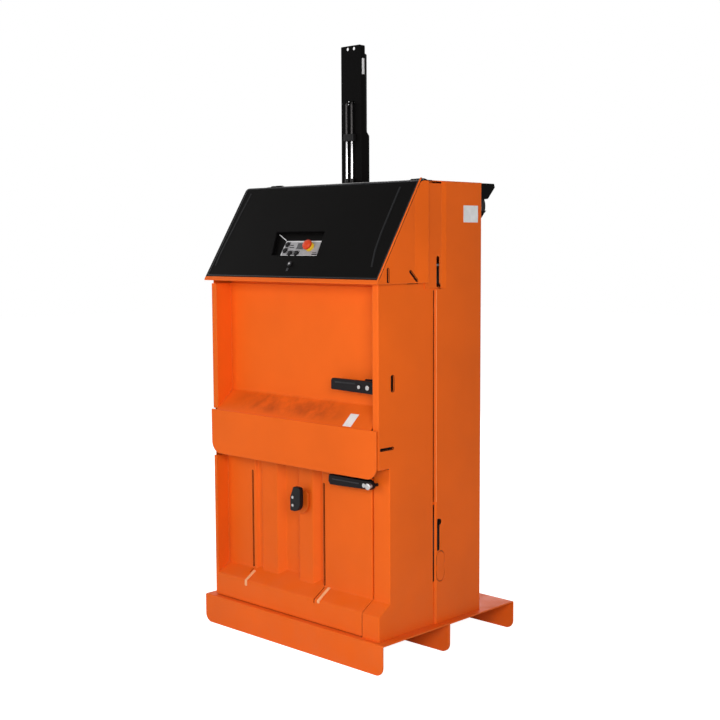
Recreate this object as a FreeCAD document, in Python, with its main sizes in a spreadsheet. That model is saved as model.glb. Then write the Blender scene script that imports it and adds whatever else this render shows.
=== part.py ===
import FreeCAD, Part
import math
import os
import Sketcher

# Recycling baler: a floor-standing vertical press. Millimetres, +Z up, the front faces -Y,
# +X is to the right of somebody who stands in front of it. The origin lies on the floor,
# in the middle of the base plate.

os.makedirs("parts", exist_ok=True)
doc = FreeCAD.newDocument("baler")
sheet = doc.addObject("Spreadsheet::Sheet", "dims")
VALUES = {}
PIECES = []


class Dim:
    """A size with its number and the sheet formula that it comes from."""

    def __init__(self, value, text):
        self.value, self.text = float(value), text

    @staticmethod
    def of(other):
        return other if isinstance(other, Dim) else Dim(other, "%.10g" % other)

    def join(self, other, sign, value):
        return Dim(value, "(%s %s %s)" % (self.text, sign, Dim.of(other).text))

    def __add__(self, other):
        return self.join(other, "+", self.value + Dim.of(other).value)

    def __sub__(self, other):
        return self.join(other, "-", self.value - Dim.of(other).value)

    def __mul__(self, other):
        return self.join(other, "*", self.value * Dim.of(other).value)

    def __truediv__(self, other):
        return self.join(other, "/", self.value / Dim.of(other).value)

    def __neg__(self):
        return Dim(0, "0") - self

    def __radd__(self, other):
        return Dim.of(other) + self

    def __rsub__(self, other):
        return Dim.of(other) - self

    def __rmul__(self, other):
        return Dim.of(other) * self


def sine(angle):
    return Dim(math.sin(math.radians(angle.value)), "sin(%s)" % angle.text)


def cosine(angle):
    return Dim(math.cos(math.radians(angle.value)), "cos(%s)" % angle.text)


def cell(alias, value):
    """Write one driving size into the sheet and give back its Dim."""
    row = len(VALUES) + 1
    VALUES[alias] = value
    sheet.set("A%d" % row, alias)
    sheet.set("B%d" % row, "%.10g" % value)
    sheet.setAlias("B%d" % row, alias)
    return Dim(value, "dims." + alias)


def bind(thing, prop, size):
    size = Dim.of(size)
    thing.setExpression(prop, size.text)
    return size.value


# ---------------------------------------------------------------- driving sizes
# base
base_half = cell("base_half", 500)
base_depth = cell("base_depth", 780)
base_top = cell("base_top", 115)
base_sheet = cell("base_sheet", 5)
foot_corner = cell("foot_corner", 34)
foot_y = cell("foot_y", -20)
foot_thick = cell("foot_thick", 10)
# body shell
body_half = cell("body_half", 460)
wall = cell("wall", 4)
front_y = cell("front_y", -365)
rear_y = cell("rear_y", 213)
roof_z = cell("roof_z", 1787)
seam_y = cell("seam_y", -60)
upper_seam = cell("upper_seam", -22)
split_z = cell("split_z", 1388)
roof_front = cell("roof_front", -78)
proud = cell("proud", 8)
post_width = cell("post_width", 28)
post_depth = cell("post_depth", 100)
door_recess = cell("door_recess", 59)
step_z = cell("step_z", 745)
apron_top = cell("apron_top", 245)
apron_low = cell("apron_low", 207)
low_post_x = cell("low_post_x", 376)
panel_top = cell("panel_top", 1440)
hand_low = cell("hand_low", 275)
hand_top = cell("hand_top", 573)
key_y = cell("key_y", -41)
key_top = cell("key_top", 1502)
key_r = cell("key_r", 9)
panel_rear = cell("panel_rear", -33)
chamber_left = cell("chamber_left", -436)
chamber_right = cell("chamber_right", 372)
liner_y = cell("liner_y", 170)
# hood
hood_half = cell("hood_half", 478)
hood_front = cell("hood_front", -388)
hood_low = cell("hood_low", 1413)
hood_nose = cell("hood_nose", 5)
hood_slope = cell("hood_slope", 57.65)
hood_rear = cell("hood_rear", -110)
lip = cell("lip", 13)
recess_top = cell("recess_top", 221)
recess_low = cell("recess_low", 112)
lock_s = cell("lock_s", 74)
skin = cell("skin", 3)
cover_rear = cell("cover_rear", -92)
crown_bend = cell("crown_bend", 30)
# doors
hinge_x = cell("hinge_x", -470)
hinge_y = cell("hinge_y", -344)
knuckle_r = cell("knuckle_r", 7.5)
pin_r = cell("pin_r", 4)
pin_fit = cell("pin_fit", 0.05)
panel_y = cell("panel_y", -288)
door_left = cell("door_left", -432)
door_right = cell("door_right", 424)
door_top = cell("door_top", 1400)
fold_z = cell("fold_z", 965)
flap_y = cell("flap_y", -377)
flap_z = cell("flap_z", 890)
flap_low = cell("flap_low", 711)
flap_half = cell("flap_half", 459)
flap_corner = cell("flap_corner", 48)
bale_top = cell("bale_top", 698)
bale_low = cell("bale_low", 118.5)
bale_left = cell("bale_left", -445)
bale_right = cell("bale_right", 371)
valley = cell("valley", 27)
strap_dip = cell("strap_dip", 12)
slot_left = cell("slot_left", -291)
slot_right = cell("slot_right", 119.5)
slot_r = cell("slot_r", 2.8)
slot_top = cell("slot_top", 645)
upper_shaft_z = cell("upper_shaft_z", 1036)
lower_shaft_z = cell("lower_shaft_z", 679)
upper_shaft_x = cell("upper_shaft_x", 380)
lever_x = cell("lever_x", 344)
soft = cell("soft", 9)
# press
press_y = cell("press_y", 16)
rod_r = cell("rod_r", 20)
rod_fit = cell("rod_fit", 0.08)
barrel_r = cell("barrel_r", 35)
bore_r = cell("bore_r", 29)
beam_low = cell("beam_low", 1400)
beam_top = cell("beam_top", 1480)
barrel_top = cell("barrel_top", 2300)
platen_z = cell("platen_z", 1300)
platen_front = cell("platen_front", -252)
platen_gap = cell("platen_gap", 6)
# mast
mast_half = cell("mast_half", 55.5)
mast_front = cell("mast_front", -25)
mast_top = cell("mast_top", 2328)
mast_wall = cell("mast_wall", 3)
mast_step = cell("mast_step", 1990)
mast_thin = cell("mast_thin", 23)
mast_deep = cell("mast_deep", 46)
# details
base_bend = cell("base_bend", 6)
post_bend = cell("post_bend", 3.5)
corner_bend = cell("corner_bend", 8)
seam_slit = cell("seam_slit", 6)
column_y = cell("column_y", -357)
shell_sheet = cell("shell_sheet", 3)
strip_sheet = cell("strip_sheet", 3.2)
upper_slope = cell("upper_slope", 22)
shell_bend = cell("shell_bend", 7)
lower_slope = cell("lower_slope", 8)
cover_r = cell("cover_r", 24)
cover_gap = cell("cover_gap", 3)
cover_y = cell("cover_y", -30)
liner_top = cell("liner_top", 1250)
rail_half = cell("rail_half", 22)
nose_bend = cell("nose_bend", 2.2)
tray_depth = cell("tray_depth", 16)
rod_pin_r = cell("rod_pin_r", 3)
apron_gap = cell("apron_gap", 4)
apron_bend = cell("apron_bend", 12)
upper_grip_y = cell("upper_grip_y", -335)
lower_grip_y = cell("lower_grip_y", -346)
grip_left = cell("grip_left", -16)
grip_right = cell("grip_right", 39)
grip_low = cell("grip_low", 531)
grip_high = cell("grip_high", 626)
tail_thick = cell("tail_thick", 3)
tail_half = cell("tail_half", 6)
motor_z = cell("motor_z", 1702)
motor_x = cell("motor_x", 389)
shelf_z = cell("shelf_z", 1570)
grip_reach = cell("grip_reach", 52)
grip_thick = cell("grip_thick", 18)
grip_gap = cell("grip_gap", 8)


# ---------------------------------------------------------------- small modelling kit
class Piece:
    """One separate piece: a body whose features are fed with sizes from the sheet."""

    PLANES = {"X": ("YZ_Plane", 1), "Y": ("XZ_Plane", -1), "Z": ("XY_Plane", 1)}

    def __init__(self, label):
        self.label, self.count = label, 0
        self.body = doc.addObject("PartDesign::Body", "Body_" + label)
        self.body.Label = label
        PIECES.append(self.body)

    def sketch(self, axis, level, marks):
        role, sign = self.PLANES[axis]
        self.count += 1
        sk = self.body.newObject("Sketcher::SketchObject", "%s_s%d" % (self.label, self.count))
        plane = [o for o in self.body.Origin.OriginFeatures if o.Role == role][0]
        sk.AttachmentSupport = [(plane, "")]
        sk.MapMode = "FlatFace"
        level = Dim.of(level)
        shown = level if sign > 0 else -level
        sk.AttachmentOffset = FreeCAD.Placement(FreeCAD.Vector(0, 0, shown.value), FreeCAD.Rotation())
        sk.setExpression(".AttachmentOffset.Base.z", shown.text)
        for mark in marks:
            mark(sk)
        return sk

    def extrude(self, kind, axis, low, high, marks, name):
        """Pad or pocket the marks between two levels along an axis of the piece."""
        low, high = Dim.of(low), Dim.of(high)
        level = low if kind == "Pad" else high
        if axis == "Y":
            level = high if kind == "Pad" else low
        sk = self.sketch(axis, level, marks)
        feature = self.body.newObject("PartDesign::" + kind, "%s_%s" % (self.label, name))
        feature.Profile = sk
        feature.Length = bind(feature, "Length", high - low)
        sk.Visibility = False
        return feature

    def pad(self, axis, low, high, marks, name="pad"):
        return self.extrude("Pad", axis, low, high, marks, name)

    def cut(self, axis, low, high, marks, name="cut"):
        return self.extrude("Pocket", axis, low, high, marks, name)

    def turn(self, marks, name="turned", groove=False):
        """Revolve the marks, drawn in the XZ plane, about the piece's own Z axis."""
        sk = self.sketch("Y", 0, marks)
        kind = "PartDesign::Groove" if groove else "PartDesign::Revolution"
        feature = self.body.newObject(kind, "%s_%s" % (self.label, name))
        feature.Profile = sk
        feature.ReferenceAxis = (sk, ["V_Axis"])
        feature.Angle = 360
        return feature

    def round(self, radius, test, name="round", kind="Fillet"):
        """Fillet or chamfer the edges that the test picks by their ends and middle."""
        doc.recompute()
        tip = self.body.Tip
        names = []
        for i, edge in enumerate(tip.Shape.Edges):
            a, b = edge.Vertexes[0].Point, edge.Vertexes[-1].Point
            if test(a, b, edge):
                names.append("Edge%d" % (i + 1))
        if not names:
            raise RuntimeError("no edge to round on " + self.label)
        feature = self.body.newObject("PartDesign::" + kind, "%s_%s" % (self.label, name))
        feature.Base = (tip, names)
        prop = "Radius" if kind == "Fillet" else "Size"
        setattr(feature, prop, bind(feature, prop, radius))
        doc.recompute()
        if feature.Shape.isNull() or not feature.isValid():
            raise RuntimeError("rounding failed: " + feature.Name)
        return feature

    def place(self, x, y, z, tilt=None, axis=(1, 0, 0)):
        """Stand the finished piece at a point, tilted about an axis."""
        turn = FreeCAD.Rotation(FreeCAD.Vector(*axis), Dim.of(tilt).value if tilt is not None else 0)
        spot = FreeCAD.Vector(Dim.of(x).value, Dim.of(y).value, Dim.of(z).value)
        self.body.Placement = FreeCAD.Placement(spot, turn)
        bind(self.body, ".Placement.Base.x", x)
        bind(self.body, ".Placement.Base.y", y)
        bind(self.body, ".Placement.Base.z", z)
        if tilt is not None:
            bind(self.body, ".Placement.Rotation.Angle", tilt)
        return self


def hold(sk, rows):
    """Add dimension constraints and tie each to its formula."""
    for kind, args, size in rows:
        size = Dim.of(size)
        number = sk.addConstraint(Sketcher.Constraint(kind, *(list(args) + [size.value])))
        sk.renameConstraint(number, "c%d" % number)
        sk.setExpression("Constraints.c%d" % number, size.text)


def poly(*points):
    """A closed outline through the points."""
    def draw(sk):
        first, n = sk.GeometryCount, len(points)
        ends = [FreeCAD.Vector(Dim.of(a).value, Dim.of(b).value, 0) for a, b in points]
        sk.addGeometry([Part.LineSegment(ends[i], ends[(i + 1) % n]) for i in range(n)], False)
        sk.addConstraint([Sketcher.Constraint("Coincident", first + i, 2, first + (i + 1) % n, 1)
                          for i in range(n)])
        rows = []
        for i, (a, b) in enumerate(points):
            rows.append(("DistanceX", (-1, 1, first + i, 1), a))
            rows.append(("DistanceY", (-1, 1, first + i, 1), b))
        hold(sk, rows)
    return draw


def rect(x0, y0, x1, y1):
    return poly((x0, y0), (x1, y0), (x1, y1), (x0, y1))


def disc(x, y, r):
    def draw(sk):
        x1, y1, r1 = Dim.of(x), Dim.of(y), Dim.of(r)
        g = sk.addGeometry(Part.Circle(FreeCAD.Vector(x1.value, y1.value, 0),
                                       FreeCAD.Vector(0, 0, 1), r1.value), False)
        hold(sk, [("DistanceX", (-1, 1, g, 3), x1), ("DistanceY", (-1, 1, g, 3), y1),
                  ("Radius", (g,), r1)])
    return draw


def slot(x0, y0, x1, y1, r):
    """A round-ended slot between two centres."""
    def draw(sk):
        a = FreeCAD.Vector(Dim.of(x0).value, Dim.of(y0).value, 0)
        b = FreeCAD.Vector(Dim.of(x1).value, Dim.of(y1).value, 0)
        rad = Dim.of(r).value
        lean = math.atan2(b.y - a.y, b.x - a.x)
        side = FreeCAD.Vector(-math.sin(lean), math.cos(lean), 0) * rad
        up = FreeCAD.Vector(0, 0, 1)
        g = sk.GeometryCount
        half = math.pi / 2
        sk.addGeometry([
            Part.ArcOfCircle(Part.Circle(a, up, rad), lean + half, lean + 3 * half),
            Part.LineSegment(a - side, b - side),
            Part.ArcOfCircle(Part.Circle(b, up, rad), lean - half, lean + half),
            Part.LineSegment(b + side, a + side)], False)
        sk.addConstraint([Sketcher.Constraint("Tangent", g, 2, g + 1, 1),
                          Sketcher.Constraint("Tangent", g + 1, 2, g + 2, 1),
                          Sketcher.Constraint("Tangent", g + 2, 2, g + 3, 1),
                          Sketcher.Constraint("Tangent", g + 3, 2, g, 1),
                          Sketcher.Constraint("Equal", g, g + 2)])
        hold(sk, [("DistanceX", (-1, 1, g, 3), x0), ("DistanceY", (-1, 1, g, 3), y0),
                  ("DistanceX", (-1, 1, g + 2, 3), x1), ("DistanceY", (-1, 1, g + 2, 3), y1),
                  ("Radius", (g,), r)])
    return draw


def upright(a, b, edge):
    return abs(a.x - b.x) < 1e-4 and abs(a.y - b.y) < 1e-4 and abs(a.z - b.z) > 1e-3


def crosswise(a, b, edge):
    return abs(a.y - b.y) < 1e-4 and abs(a.z - b.z) < 1e-4 and abs(a.x - b.x) > 1e-3


def fore_aft(a, b, edge):
    return abs(a.x - b.x) < 1e-4 and abs(a.z - b.z) < 1e-4 and abs(a.y - b.y) > 1e-3


def near(value, size):
    return abs(value - Dim.of(size).value) < 0.05


# ---------------------------------------------------------------- base
def make_base():
    back = base_depth / 2
    base = Piece("base_plate")
    base.pad("Z", base_top - base_sheet, base_top,
             [rect(-base_half, -back, base_half, back)], "floor")
    base.pad("Y", -back, base_sheet - back, [rect(-base_half, 0, base_half, base_top)], "sill")
    base.pad("Y", back - base_sheet, back, [rect(-base_half, 0, base_half, base_top)], "rear_foot")
    base.round(foot_corner, lambda a, b, e: fore_aft(a, b, e) and near(a.z, 0), "foot_round")
    base.round(base_bend, lambda a, b, e: crosswise(a, b, e) and near(a.z, base_top)
               and abs(abs(a.y) - back.value) < 0.05, "bend")
    foot = Piece("middle_foot")
    foot.pad("Y", foot_y, foot_y + foot_thick,
             [rect(-base_half, 0, base_half, base_top - base_sheet)], "bar")
    foot.round(foot_corner, lambda a, b, e: fore_aft(a, b, e) and near(a.z, 0), "foot_round")


# ---------------------------------------------------------------- body shell
def side_outline(front, z_low, z_top):
    """The side panel's outline: recess for the bale door, and the hood's slope above."""
    recessed = front_y + door_recess
    return poly((front, z_low), (front, apron_low), (recessed, apron_top), (recessed, step_z),
                (front, step_z), (front, z_top), (-190, 1710), (panel_rear, 1770),
                (panel_rear, z_low))


def make_side_panels():
    recessed = front_y + door_recess
    right = Piece("side_panel_right")
    right.pad("X", body_half - wall, body_half, [side_outline(front_y, base_top, panel_top)], "plate")
    right.pad("Z", step_z, panel_top, [rect(body_half - post_width, front_y, body_half,
                                            front_y + post_depth)], "upper_post")
    back = front_y + post_depth
    right.pad("X", low_post_x, body_half,
              [poly((front_y, base_top), (front_y, apron_low), (recessed, apron_top),
                    (recessed, step_z), (back, step_z), (back, base_top))], "lower_post")
    right.round(post_bend, lambda a, b, e: abs(a.x - b.x) < 0.01
                and near(a.x, body_half) and e.Length > 30
                and max(a.z, b.z) < panel_top.value + 1 and max(a.y, b.y) < recessed.value + 1
                and not (fore_aft(a, b, e) and a.z < step_z.value - 1), "folded_corner")
    right.round(corner_bend, lambda a, b, e: upright(a, b, e)
                and near(a.x, low_post_x) and near(a.y, recessed), "inner_corner")
    right.cut("Z", step_z - wall, panel_top, [rect(body_half - post_width + wall, front_y + wall,
                                                   body_half - wall, back)], "upper_hollow")
    right.cut("X", low_post_x + wall, body_half - wall,
              [poly((front_y + wall, base_top), (front_y + wall, apron_low - wall * 0.5),
                    (recessed + wall, apron_top - wall * 0.5), (recessed + wall, step_z - wall),
                    (back, step_z - wall), (back, base_top))], "lower_hollow")
    # keeper slot in the post's inner wall for the upper latch, and the slots of the side face
    mid = upper_shaft_z
    right.cut("X", body_half - post_width - 1, body_half - post_width + wall + 1,
              [slot(-277, mid - 34, -277, mid + 34, 8)], "keeper")
    right.cut("X", body_half - wall - 1, body_half + 1,
              [slot(-290, 1032, -290, 1077, 7), slot(-352, 819, -290, 819, 3.5)], "slots")
    slit = seam_slit
    right.cut("X", body_half - wall - 1, body_half + 1,
              [rect(seam_y - slit, hand_top + 12, seam_y - 1, split_z - 4)], "seam_slit")
    right.cut("X", body_half - wall - 1, body_half + 1,
              [rect(seam_y - slit, hand_low + 4, panel_rear + 1, hand_top + 2)], "hand_notch")
    right.cut("X", body_half - wall - 1, body_half + 1,
              [slot(key_y, split_z + 14, key_y, key_top, key_r)], "key_slot")
    left = Piece("side_panel_left")
    column = column_y
    left.pad("X", -body_half, wall - body_half,
             [poly((column, base_top), (column, panel_top), (-190, 1710), (panel_rear, 1770),
                   (panel_rear, base_top))], "plate")
    left.pad("Y", -272, wall - 272, [rect(-body_half + wall, base_top, chamber_left - wall,
                                          panel_top)], "stop")
    left.round(2, lambda a, b, e: upright(a, b, e) and near(a.x, -body_half)
               and near(a.y, column), "edge")


def shell_plan(outer, lap, front, slope):
    """The folded skin in plan; at both front edges it slopes in to the side panel."""
    foot = body_half + 0.4
    half = [(outer, rear_y), (outer, front + slope), (foot + lap, front), (foot, front),
            (outer - lap, front + slope + 1), (outer - lap, rear_y - lap)]
    return poly(*(half + [(-x, y) for x, y in half[::-1]]))


def make_rear_shell():
    """Rear skin: one sheet folded round both rear corners, standing proud of the side panels."""
    outer = body_half + proud
    lap = shell_sheet
    strip = strip_sheet
    shell = Piece("rear_shell")
    shell.pad("Z", split_z, roof_z - 4, [shell_plan(outer, lap, upper_seam, upper_slope)],
              "upper_skin")
    shell.pad("Z", base_top, split_z, [shell_plan(outer, lap, seam_y, lower_slope)], "lower_skin")
    for side in (1, -1):
        inner, face = body_half * side, (body_half + strip) * side
        ends = (inner, face) if side > 0 else (face, inner)
        shell.pad("X", ends[0], ends[1], [rect(hood_rear - 6, split_z + 2, upper_seam + 14,
                                               roof_z - 10)], "strip")
        ends = (inner, outer - lap) if side > 0 else (lap - outer, inner)
        for low in (130, 640, 1000, 1262):
            shell.pad("X", ends[0], ends[1], [rect(seam_y + lower_slope + 2, low, panel_rear - 1, low + 118)],
                      "tab%d" % low)
    shell.round(shell_bend, lambda a, b, e: upright(a, b, e)
                and abs(abs(a.x) - outer.value) < 0.05 and near(a.y, rear_y), "bend")
    shell.cut("X", body_half - 1, body_half + strip + 1,
              [slot(key_y, split_z + 14, key_y, key_top, key_r)], "key_slot")
    shell.cut("X", body_half - 1, body_half + strip + 1,
              [disc(key_y + 7, split_z + 12, key_r)], "key_foot")
    # narrow opening above the sprung D-shaped cover of the hand hole
    shell.cut("X", outer - lap - 1, outer + 1, [rect(seam_y + lower_slope + 1, 397, -34, 519)], "opening")
    shell.cut("X", outer - lap - 1, outer + 1, [disc(-36, 506, 12)], "opening_top")
    r, gap, y = cover_r, cover_gap, cover_y
    shell.cut("X", outer - lap - 1, outer + 1,
              [slot(y, hand_low + r, y, 371, r), slot(y, hand_low + r, y, 371, r - gap)],
              "cover_gap")
    shell.pad("X", outer - lap - 3, outer - lap, [rect(y - r - 3, 322, y + r + 5, 342)],
              "cover_spring")
    shell.cut("Y", rear_y - lap - 1, rear_y + 1,
              [slot(x, 400, x, 900, 9) for x in STRAPS], "strap_slots")


GUIDES = (-240, 176)
STRAPS = (-290, -84, 120)


def make_chamber():
    chamber = Piece("chamber_liner")
    back = liner_y
    chamber.pad("Z", base_top + 4, liner_top, [poly(
        (chamber_left - wall, -268), (chamber_left, -268), (chamber_left, back),
        (chamber_right, back), (chamber_right, -262), (chamber_right + wall, -262),
        (chamber_right + wall, back + wall), (chamber_left - wall, back + wall))], "folded_liner")
    chamber.cut("Y", back - 1, back + wall + 1,
                [slot(x, 200, x, 1120, 7) for x in STRAPS], "strap_slots")
    chamber.round(3.5, lambda a, b, e: upright(a, b, e) and near(a.y, back + wall)
                  and e.Length > 1000, "bends")
    floor = Piece("chamber_floor")
    floor.pad("X", chamber_left, chamber_right, [rect(-262, base_top, back, base_top + 30)], "slab")
    floor.cut("Y", -263, back + 1, [rect(x - 11, base_top + 12, x + 11, base_top + 31)
                                    for x in STRAPS], "strap_grooves")
    floor.round(4, lambda a, b, e: fore_aft(a, b, e) and near(a.z, base_top + 30), "eased")
    rail = rail_half
    guide = Piece("guide_rails")
    guide.pad("Z", 330, 1395, [rect(x - rail, back - 16, x + rail, back) for x in GUIDES], "rails")
    guide.round(3, lambda a, b, e: upright(a, b, e) and near(a.y, back - 16), "eased")


def make_roof():
    outer = body_half + proud
    roof = Piece("roof_plate")
    roof.pad("Z", roof_z - 4, roof_z, [rect(-outer, roof_front, outer, rear_y)], "plate")
    roof.pad("Y", roof_front, roof_front + 4, [rect(1 - body_half, roof_z - 30, body_half - 1,
                                                    roof_z - 4)], "front_return")
    roof.cut("Z", roof_z - 5, roof_z + 1, [disc(0, press_y, barrel_r + 4), disc(-14, -34, 6),
                                           disc(14, -34, 6)], "holes")
    roof.round(3, lambda a, b, e: near(a.z, roof_z) and near(b.z, roof_z)
               and (abs(abs(a.x) - outer.value) < 0.05 and fore_aft(a, b, e)
                    or crosswise(a, b, e) and near(a.y, rear_y)), "edge")


# ---------------------------------------------------------------- hood
HOOD_HINGES = (-400, 370)


def up_slope(along, off=0):
    """A point on the hood's slope: distance up it, and out of its plane."""
    c, s = cosine(hood_slope), sine(hood_slope)
    y = hood_front + c * along - s * off
    z = hood_low + hood_nose + s * along + c * off
    return y, z


def crown(off=0):
    """Where the slope meets the roof plane, both moved inwards by off."""
    c, s = cosine(hood_slope), sine(hood_slope)
    rise = roof_z - off - (hood_low + hood_nose)
    # the inner slope line starts off/sin behind the outer one at the same height
    y = hood_front + Dim.of(off) / s + rise * c / s
    return y, roof_z - off


def make_hood():
    hood = Piece("hood_housing")
    y1, z1 = up_slope(lip)
    y2, z2 = up_slope(lip, -skin)
    cy, cz = crown(skin)
    hood.pad("X", -hood_half, hood_half, [poly(
        (hood_front, hood_low), (hood_front, hood_low + hood_nose), (y1, z1), (y2, z2), (cy, cz),
        (hood_rear, cz), (hood_rear, hood_low))], "envelope")
    hood.round(nose_bend, lambda a, b, e: crosswise(a, b, e)
               and near(a.y, hood_front), "nose")
    hood.round(crown_bend - skin, lambda a, b, e: crosswise(a, b, e) and near(a.z, cz)
               and near(a.y, cy), "crown")
    iy, iz = up_slope(lip + 4, -skin)
    hood.cut("X", skin - hood_half, hood_half - skin, [poly(
        (hood_front + skin, hood_low + skin), (hood_front + skin, hood_low + hood_nose + 0.6),
        (up_slope(lip, -skin)[0] + 1.2, up_slope(lip, -skin)[1] - 3.2),
        (up_slope(lip + 1, -skin)[0], up_slope(lip + 1, -skin)[1]),
        (iy, iz), (cy, cz), (hood_rear, cz), (hood_rear, hood_low - 1),
        (hood_front + 21, hood_low - 1), (hood_front + 21, hood_low + skin))], "cavity")
    # small vents near the foot and rear of the side plates
    hood.cut("X", hood_half - skin - 1, hood_half + 1,
             [slot(-332, hood_low + 8, -333, hood_low + 52, 4),
              slot(-212, hood_low + 42, -178, hood_low + 10, 4)], "side_vents")
    cover = Piece("hood_cover")
    oy, oz = crown(0)
    sy, sz = up_slope(lip + 0.6)
    ty, tz = up_slope(lip + 0.6, 0.3 - skin)
    ky, kz = crown(skin - 0.3)
    cover.pad("X", -hood_half, hood_half, [poly(
        (sy, sz), (oy, oz), (cover_rear, roof_z), (cover_rear, kz), (ky, kz), (ty, tz))], "folded_cover")
    cover.round(crown_bend, lambda a, b, e: crosswise(a, b, e) and near(a.z, roof_z)
                and near(a.y, oy), "crown_outer")
    cover.round(crown_bend - skin, lambda a, b, e: crosswise(a, b, e) and near(a.z, kz)
                and near(a.y, ky), "crown_inner")
    cover.cut("Y", -400, -150, [poly(
        (-171, up_slope(recess_top)[1]), (99, up_slope(recess_top)[1]),
        (112, up_slope(recess_low)[1]), (-140, up_slope(recess_low)[1]))], "tray_opening")
    cover.cut("Y", -400, -300, [disc(-13, up_slope(lock_s)[1], 7.5)], "lock_hole")
    cover.cut("Z", roof_z - 5, roof_z + 1, [rect(x + 29.5, cover_rear - 12, x + 60.5, cover_rear + 1)
                                            for x in HOOD_HINGES], "hinge_notches")


def make_controls():
    """The sunk control tray and what sits in it, in the tilted frame of the hood's slope."""
    depth = tray_depth
    top, low = recess_top, recess_low
    base_off = -depth

    def stand(piece, x, along, off):
        y, z = up_slope(along, off)
        return piece.place(x, y, z, hood_slope)

    tray = Piece("control_tray")
    t = 2
    tray.pad("Z", -depth - t, -skin - 0.05, [poly((-171 - t, top + t), (99 + t + 1, top + t),
                                                 (112 + t + 1, low - t), (-140 - t - 1, low - t))], "pan")
    tray.cut("Z", -depth, 0, [poly((-171 + 1, top - 1), (99 - 1, top - 1), (112 - 1, low + 1),
                                   (-140 + 1, low + 1))], "well")
    stand(tray, 0, 0, 0)
    plate = Piece("keypad_plate")
    plate.pad("Z", 0, 2, [poly((-108, 117), (103, 117), (98, 187), (-108, 187))], "plate")
    plate.round(3, upright, "corners")
    for i, (x, along) in enumerate(BUTTONS):
        plate.cut("Z", -1, 3, [disc(x, along, 8.5)], "hole%d" % i)
    plate.cut("Z", -1, 3, [disc(40, 158, 12)], "stop_hole")
    plate.cut("Z", 1, 3, [rect(-34, 152, 2, 174)], "window_seat")
    stand(plate, 0, 0, base_off)
    for i, (x, along) in enumerate(BUTTONS):
        cap = Piece("push_button_%d" % (i + 1))
        cap.turn([poly((0, 0), (8, 0), (8, 3.4), (7, 4.6), (0, 4.6))], "cap")
        stand(cap, x, along, base_off + 3)
    rings = Piece("button_rings")
    rings.pad("Z", 2, 4.2, [disc(x, along, 11.5) for x, along in BUTTONS], "rings")
    rings.round(1, lambda a, b, e: near(a.z, 4.2), "eased")
    rings.cut("Z", 1, 5, [disc(x, along, 8.4) for x, along in BUTTONS], "bores")
    stand(rings, 0, 0, base_off)
    lens = Piece("indicator_window")
    lens.pad("Z", 1, 2.6, [rect(-34, 152, 2, 174)], "lens")
    stand(lens, 0, 0, base_off)
    ring = Piece("stop_collar")
    ring.turn([poly((7.5, 2.0), (19, 2.0), (19, 10), (17, 12.5), (7.5, 12.5))], "collar")
    stand(ring, 40, 158, base_off)
    knob = Piece("stop_button")
    knob.turn([poly((0, 5), (7.2, 5), (7.2, 18), (20.5, 18), (20.5, 24), (16, 29.5),
                    (8, 31.5), (0, 32))], "mushroom")
    knob.round(1.5, lambda a, b, e: near(a.z, 24) and near(b.z, 24) and a.x > 19, "rim")
    stand(knob, 40, 158, base_off)
    lock = Piece("cover_lock")
    lock.turn([poly((0, -24), (6, -24), (6, 0.3), (11, 0.3), (11, 3), (9.5, 4.5), (0, 4.5))],
              "barrel")
    lock.cut("Z", 0.5, 5, [slot(0, -4, 0, 4, 1.2)], "key_slot")
    lock.pad("Z", -22, -19, [poly((-6, 6), (6, 6), (5, -51), (-5, -51))], "cam")
    stand(lock, -13, lock_s, 0)


BUTTONS = ((-92, 170), (-92, 143), (-58, 131), (-22, 131))


def make_hood_hinge():
    """Rod and blocks on which the hood cover tips up, and the knuckles it carries."""
    r = rod_pin_r
    y, z = cover_rear + 7, roof_z + 2
    pin = Piece("hood_hinge_pin")
    pin.pad("X", -430, 430, [disc(y, z, r)], "rod")
    knuckles = Piece("cover_knuckles")
    blocks = Piece("hinge_blocks")
    for x in HOOD_HINGES:
        knuckles.pad("X", x, x + 30, [disc(y, z, 6.5)], "barrel")
        knuckles.pad("X", x, x + 30, [rect(y - 22, roof_z, y, roof_z + 3)], "leaf")
        knuckles.cut("X", x - 1, x + 31, [disc(y, z, r + pin_fit)], "bore")
        side = x + 31
        blocks.pad("X", side, side + 28, [poly(
            (y - 6.5, z - 6), (roof_front, z - 6), (roof_front, roof_z), (y + 24, roof_z),
            (y + 24, roof_z + 4), (y + 7, z + 6.5), (y - 6.5, z + 6.5))], "block")
        blocks.cut("X", side - 1, side + 29, [disc(y, z, r)], "bore")


def make_header():
    head = Piece("door_header")
    head.pad("X", door_left + 1, body_half - post_width - 1, [poly(
        (front_y + 4, hood_low + 3.2), (front_y + 4, hood_low + 6.2), (panel_y + 12, hood_low + 6.2),
        (panel_y + 12, door_top - 24), (panel_y + 8, door_top - 24), (panel_y + 8, hood_low + 3.2))],
        "folded_header")


# ---------------------------------------------------------------- doors
HINGES = (190, 580, 960, 1290)


def make_hinges():
    """Frame leaves with their knuckles, and the pins, all on one upright axis."""
    x, y, r = hinge_x, hinge_y, knuckle_r
    leaves = Piece("door_hinge_leaves")
    pins = Piece("door_hinge_pins")
    for z in HINGES:
        leaves.pad("Z", z, z + 34, [rect(-body_half - wall, y, -body_half, y + 40)], "leaf%d" % z)
        leaves.pad("Z", z, z + 34, [disc(x, y, r)], "knuckle%d" % z)
        leaves.pad("Z", z, z + 34, [rect(x, y + 1, -body_half, y + r)], "bridge%d" % z)
        leaves.cut("Z", z - 1, z + 35, [disc(x, y, pin_r)], "bore%d" % z)
        pins.pad("Z", z - 1, z + 71, [disc(x, y, pin_r)], "pin%d" % z)


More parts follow.
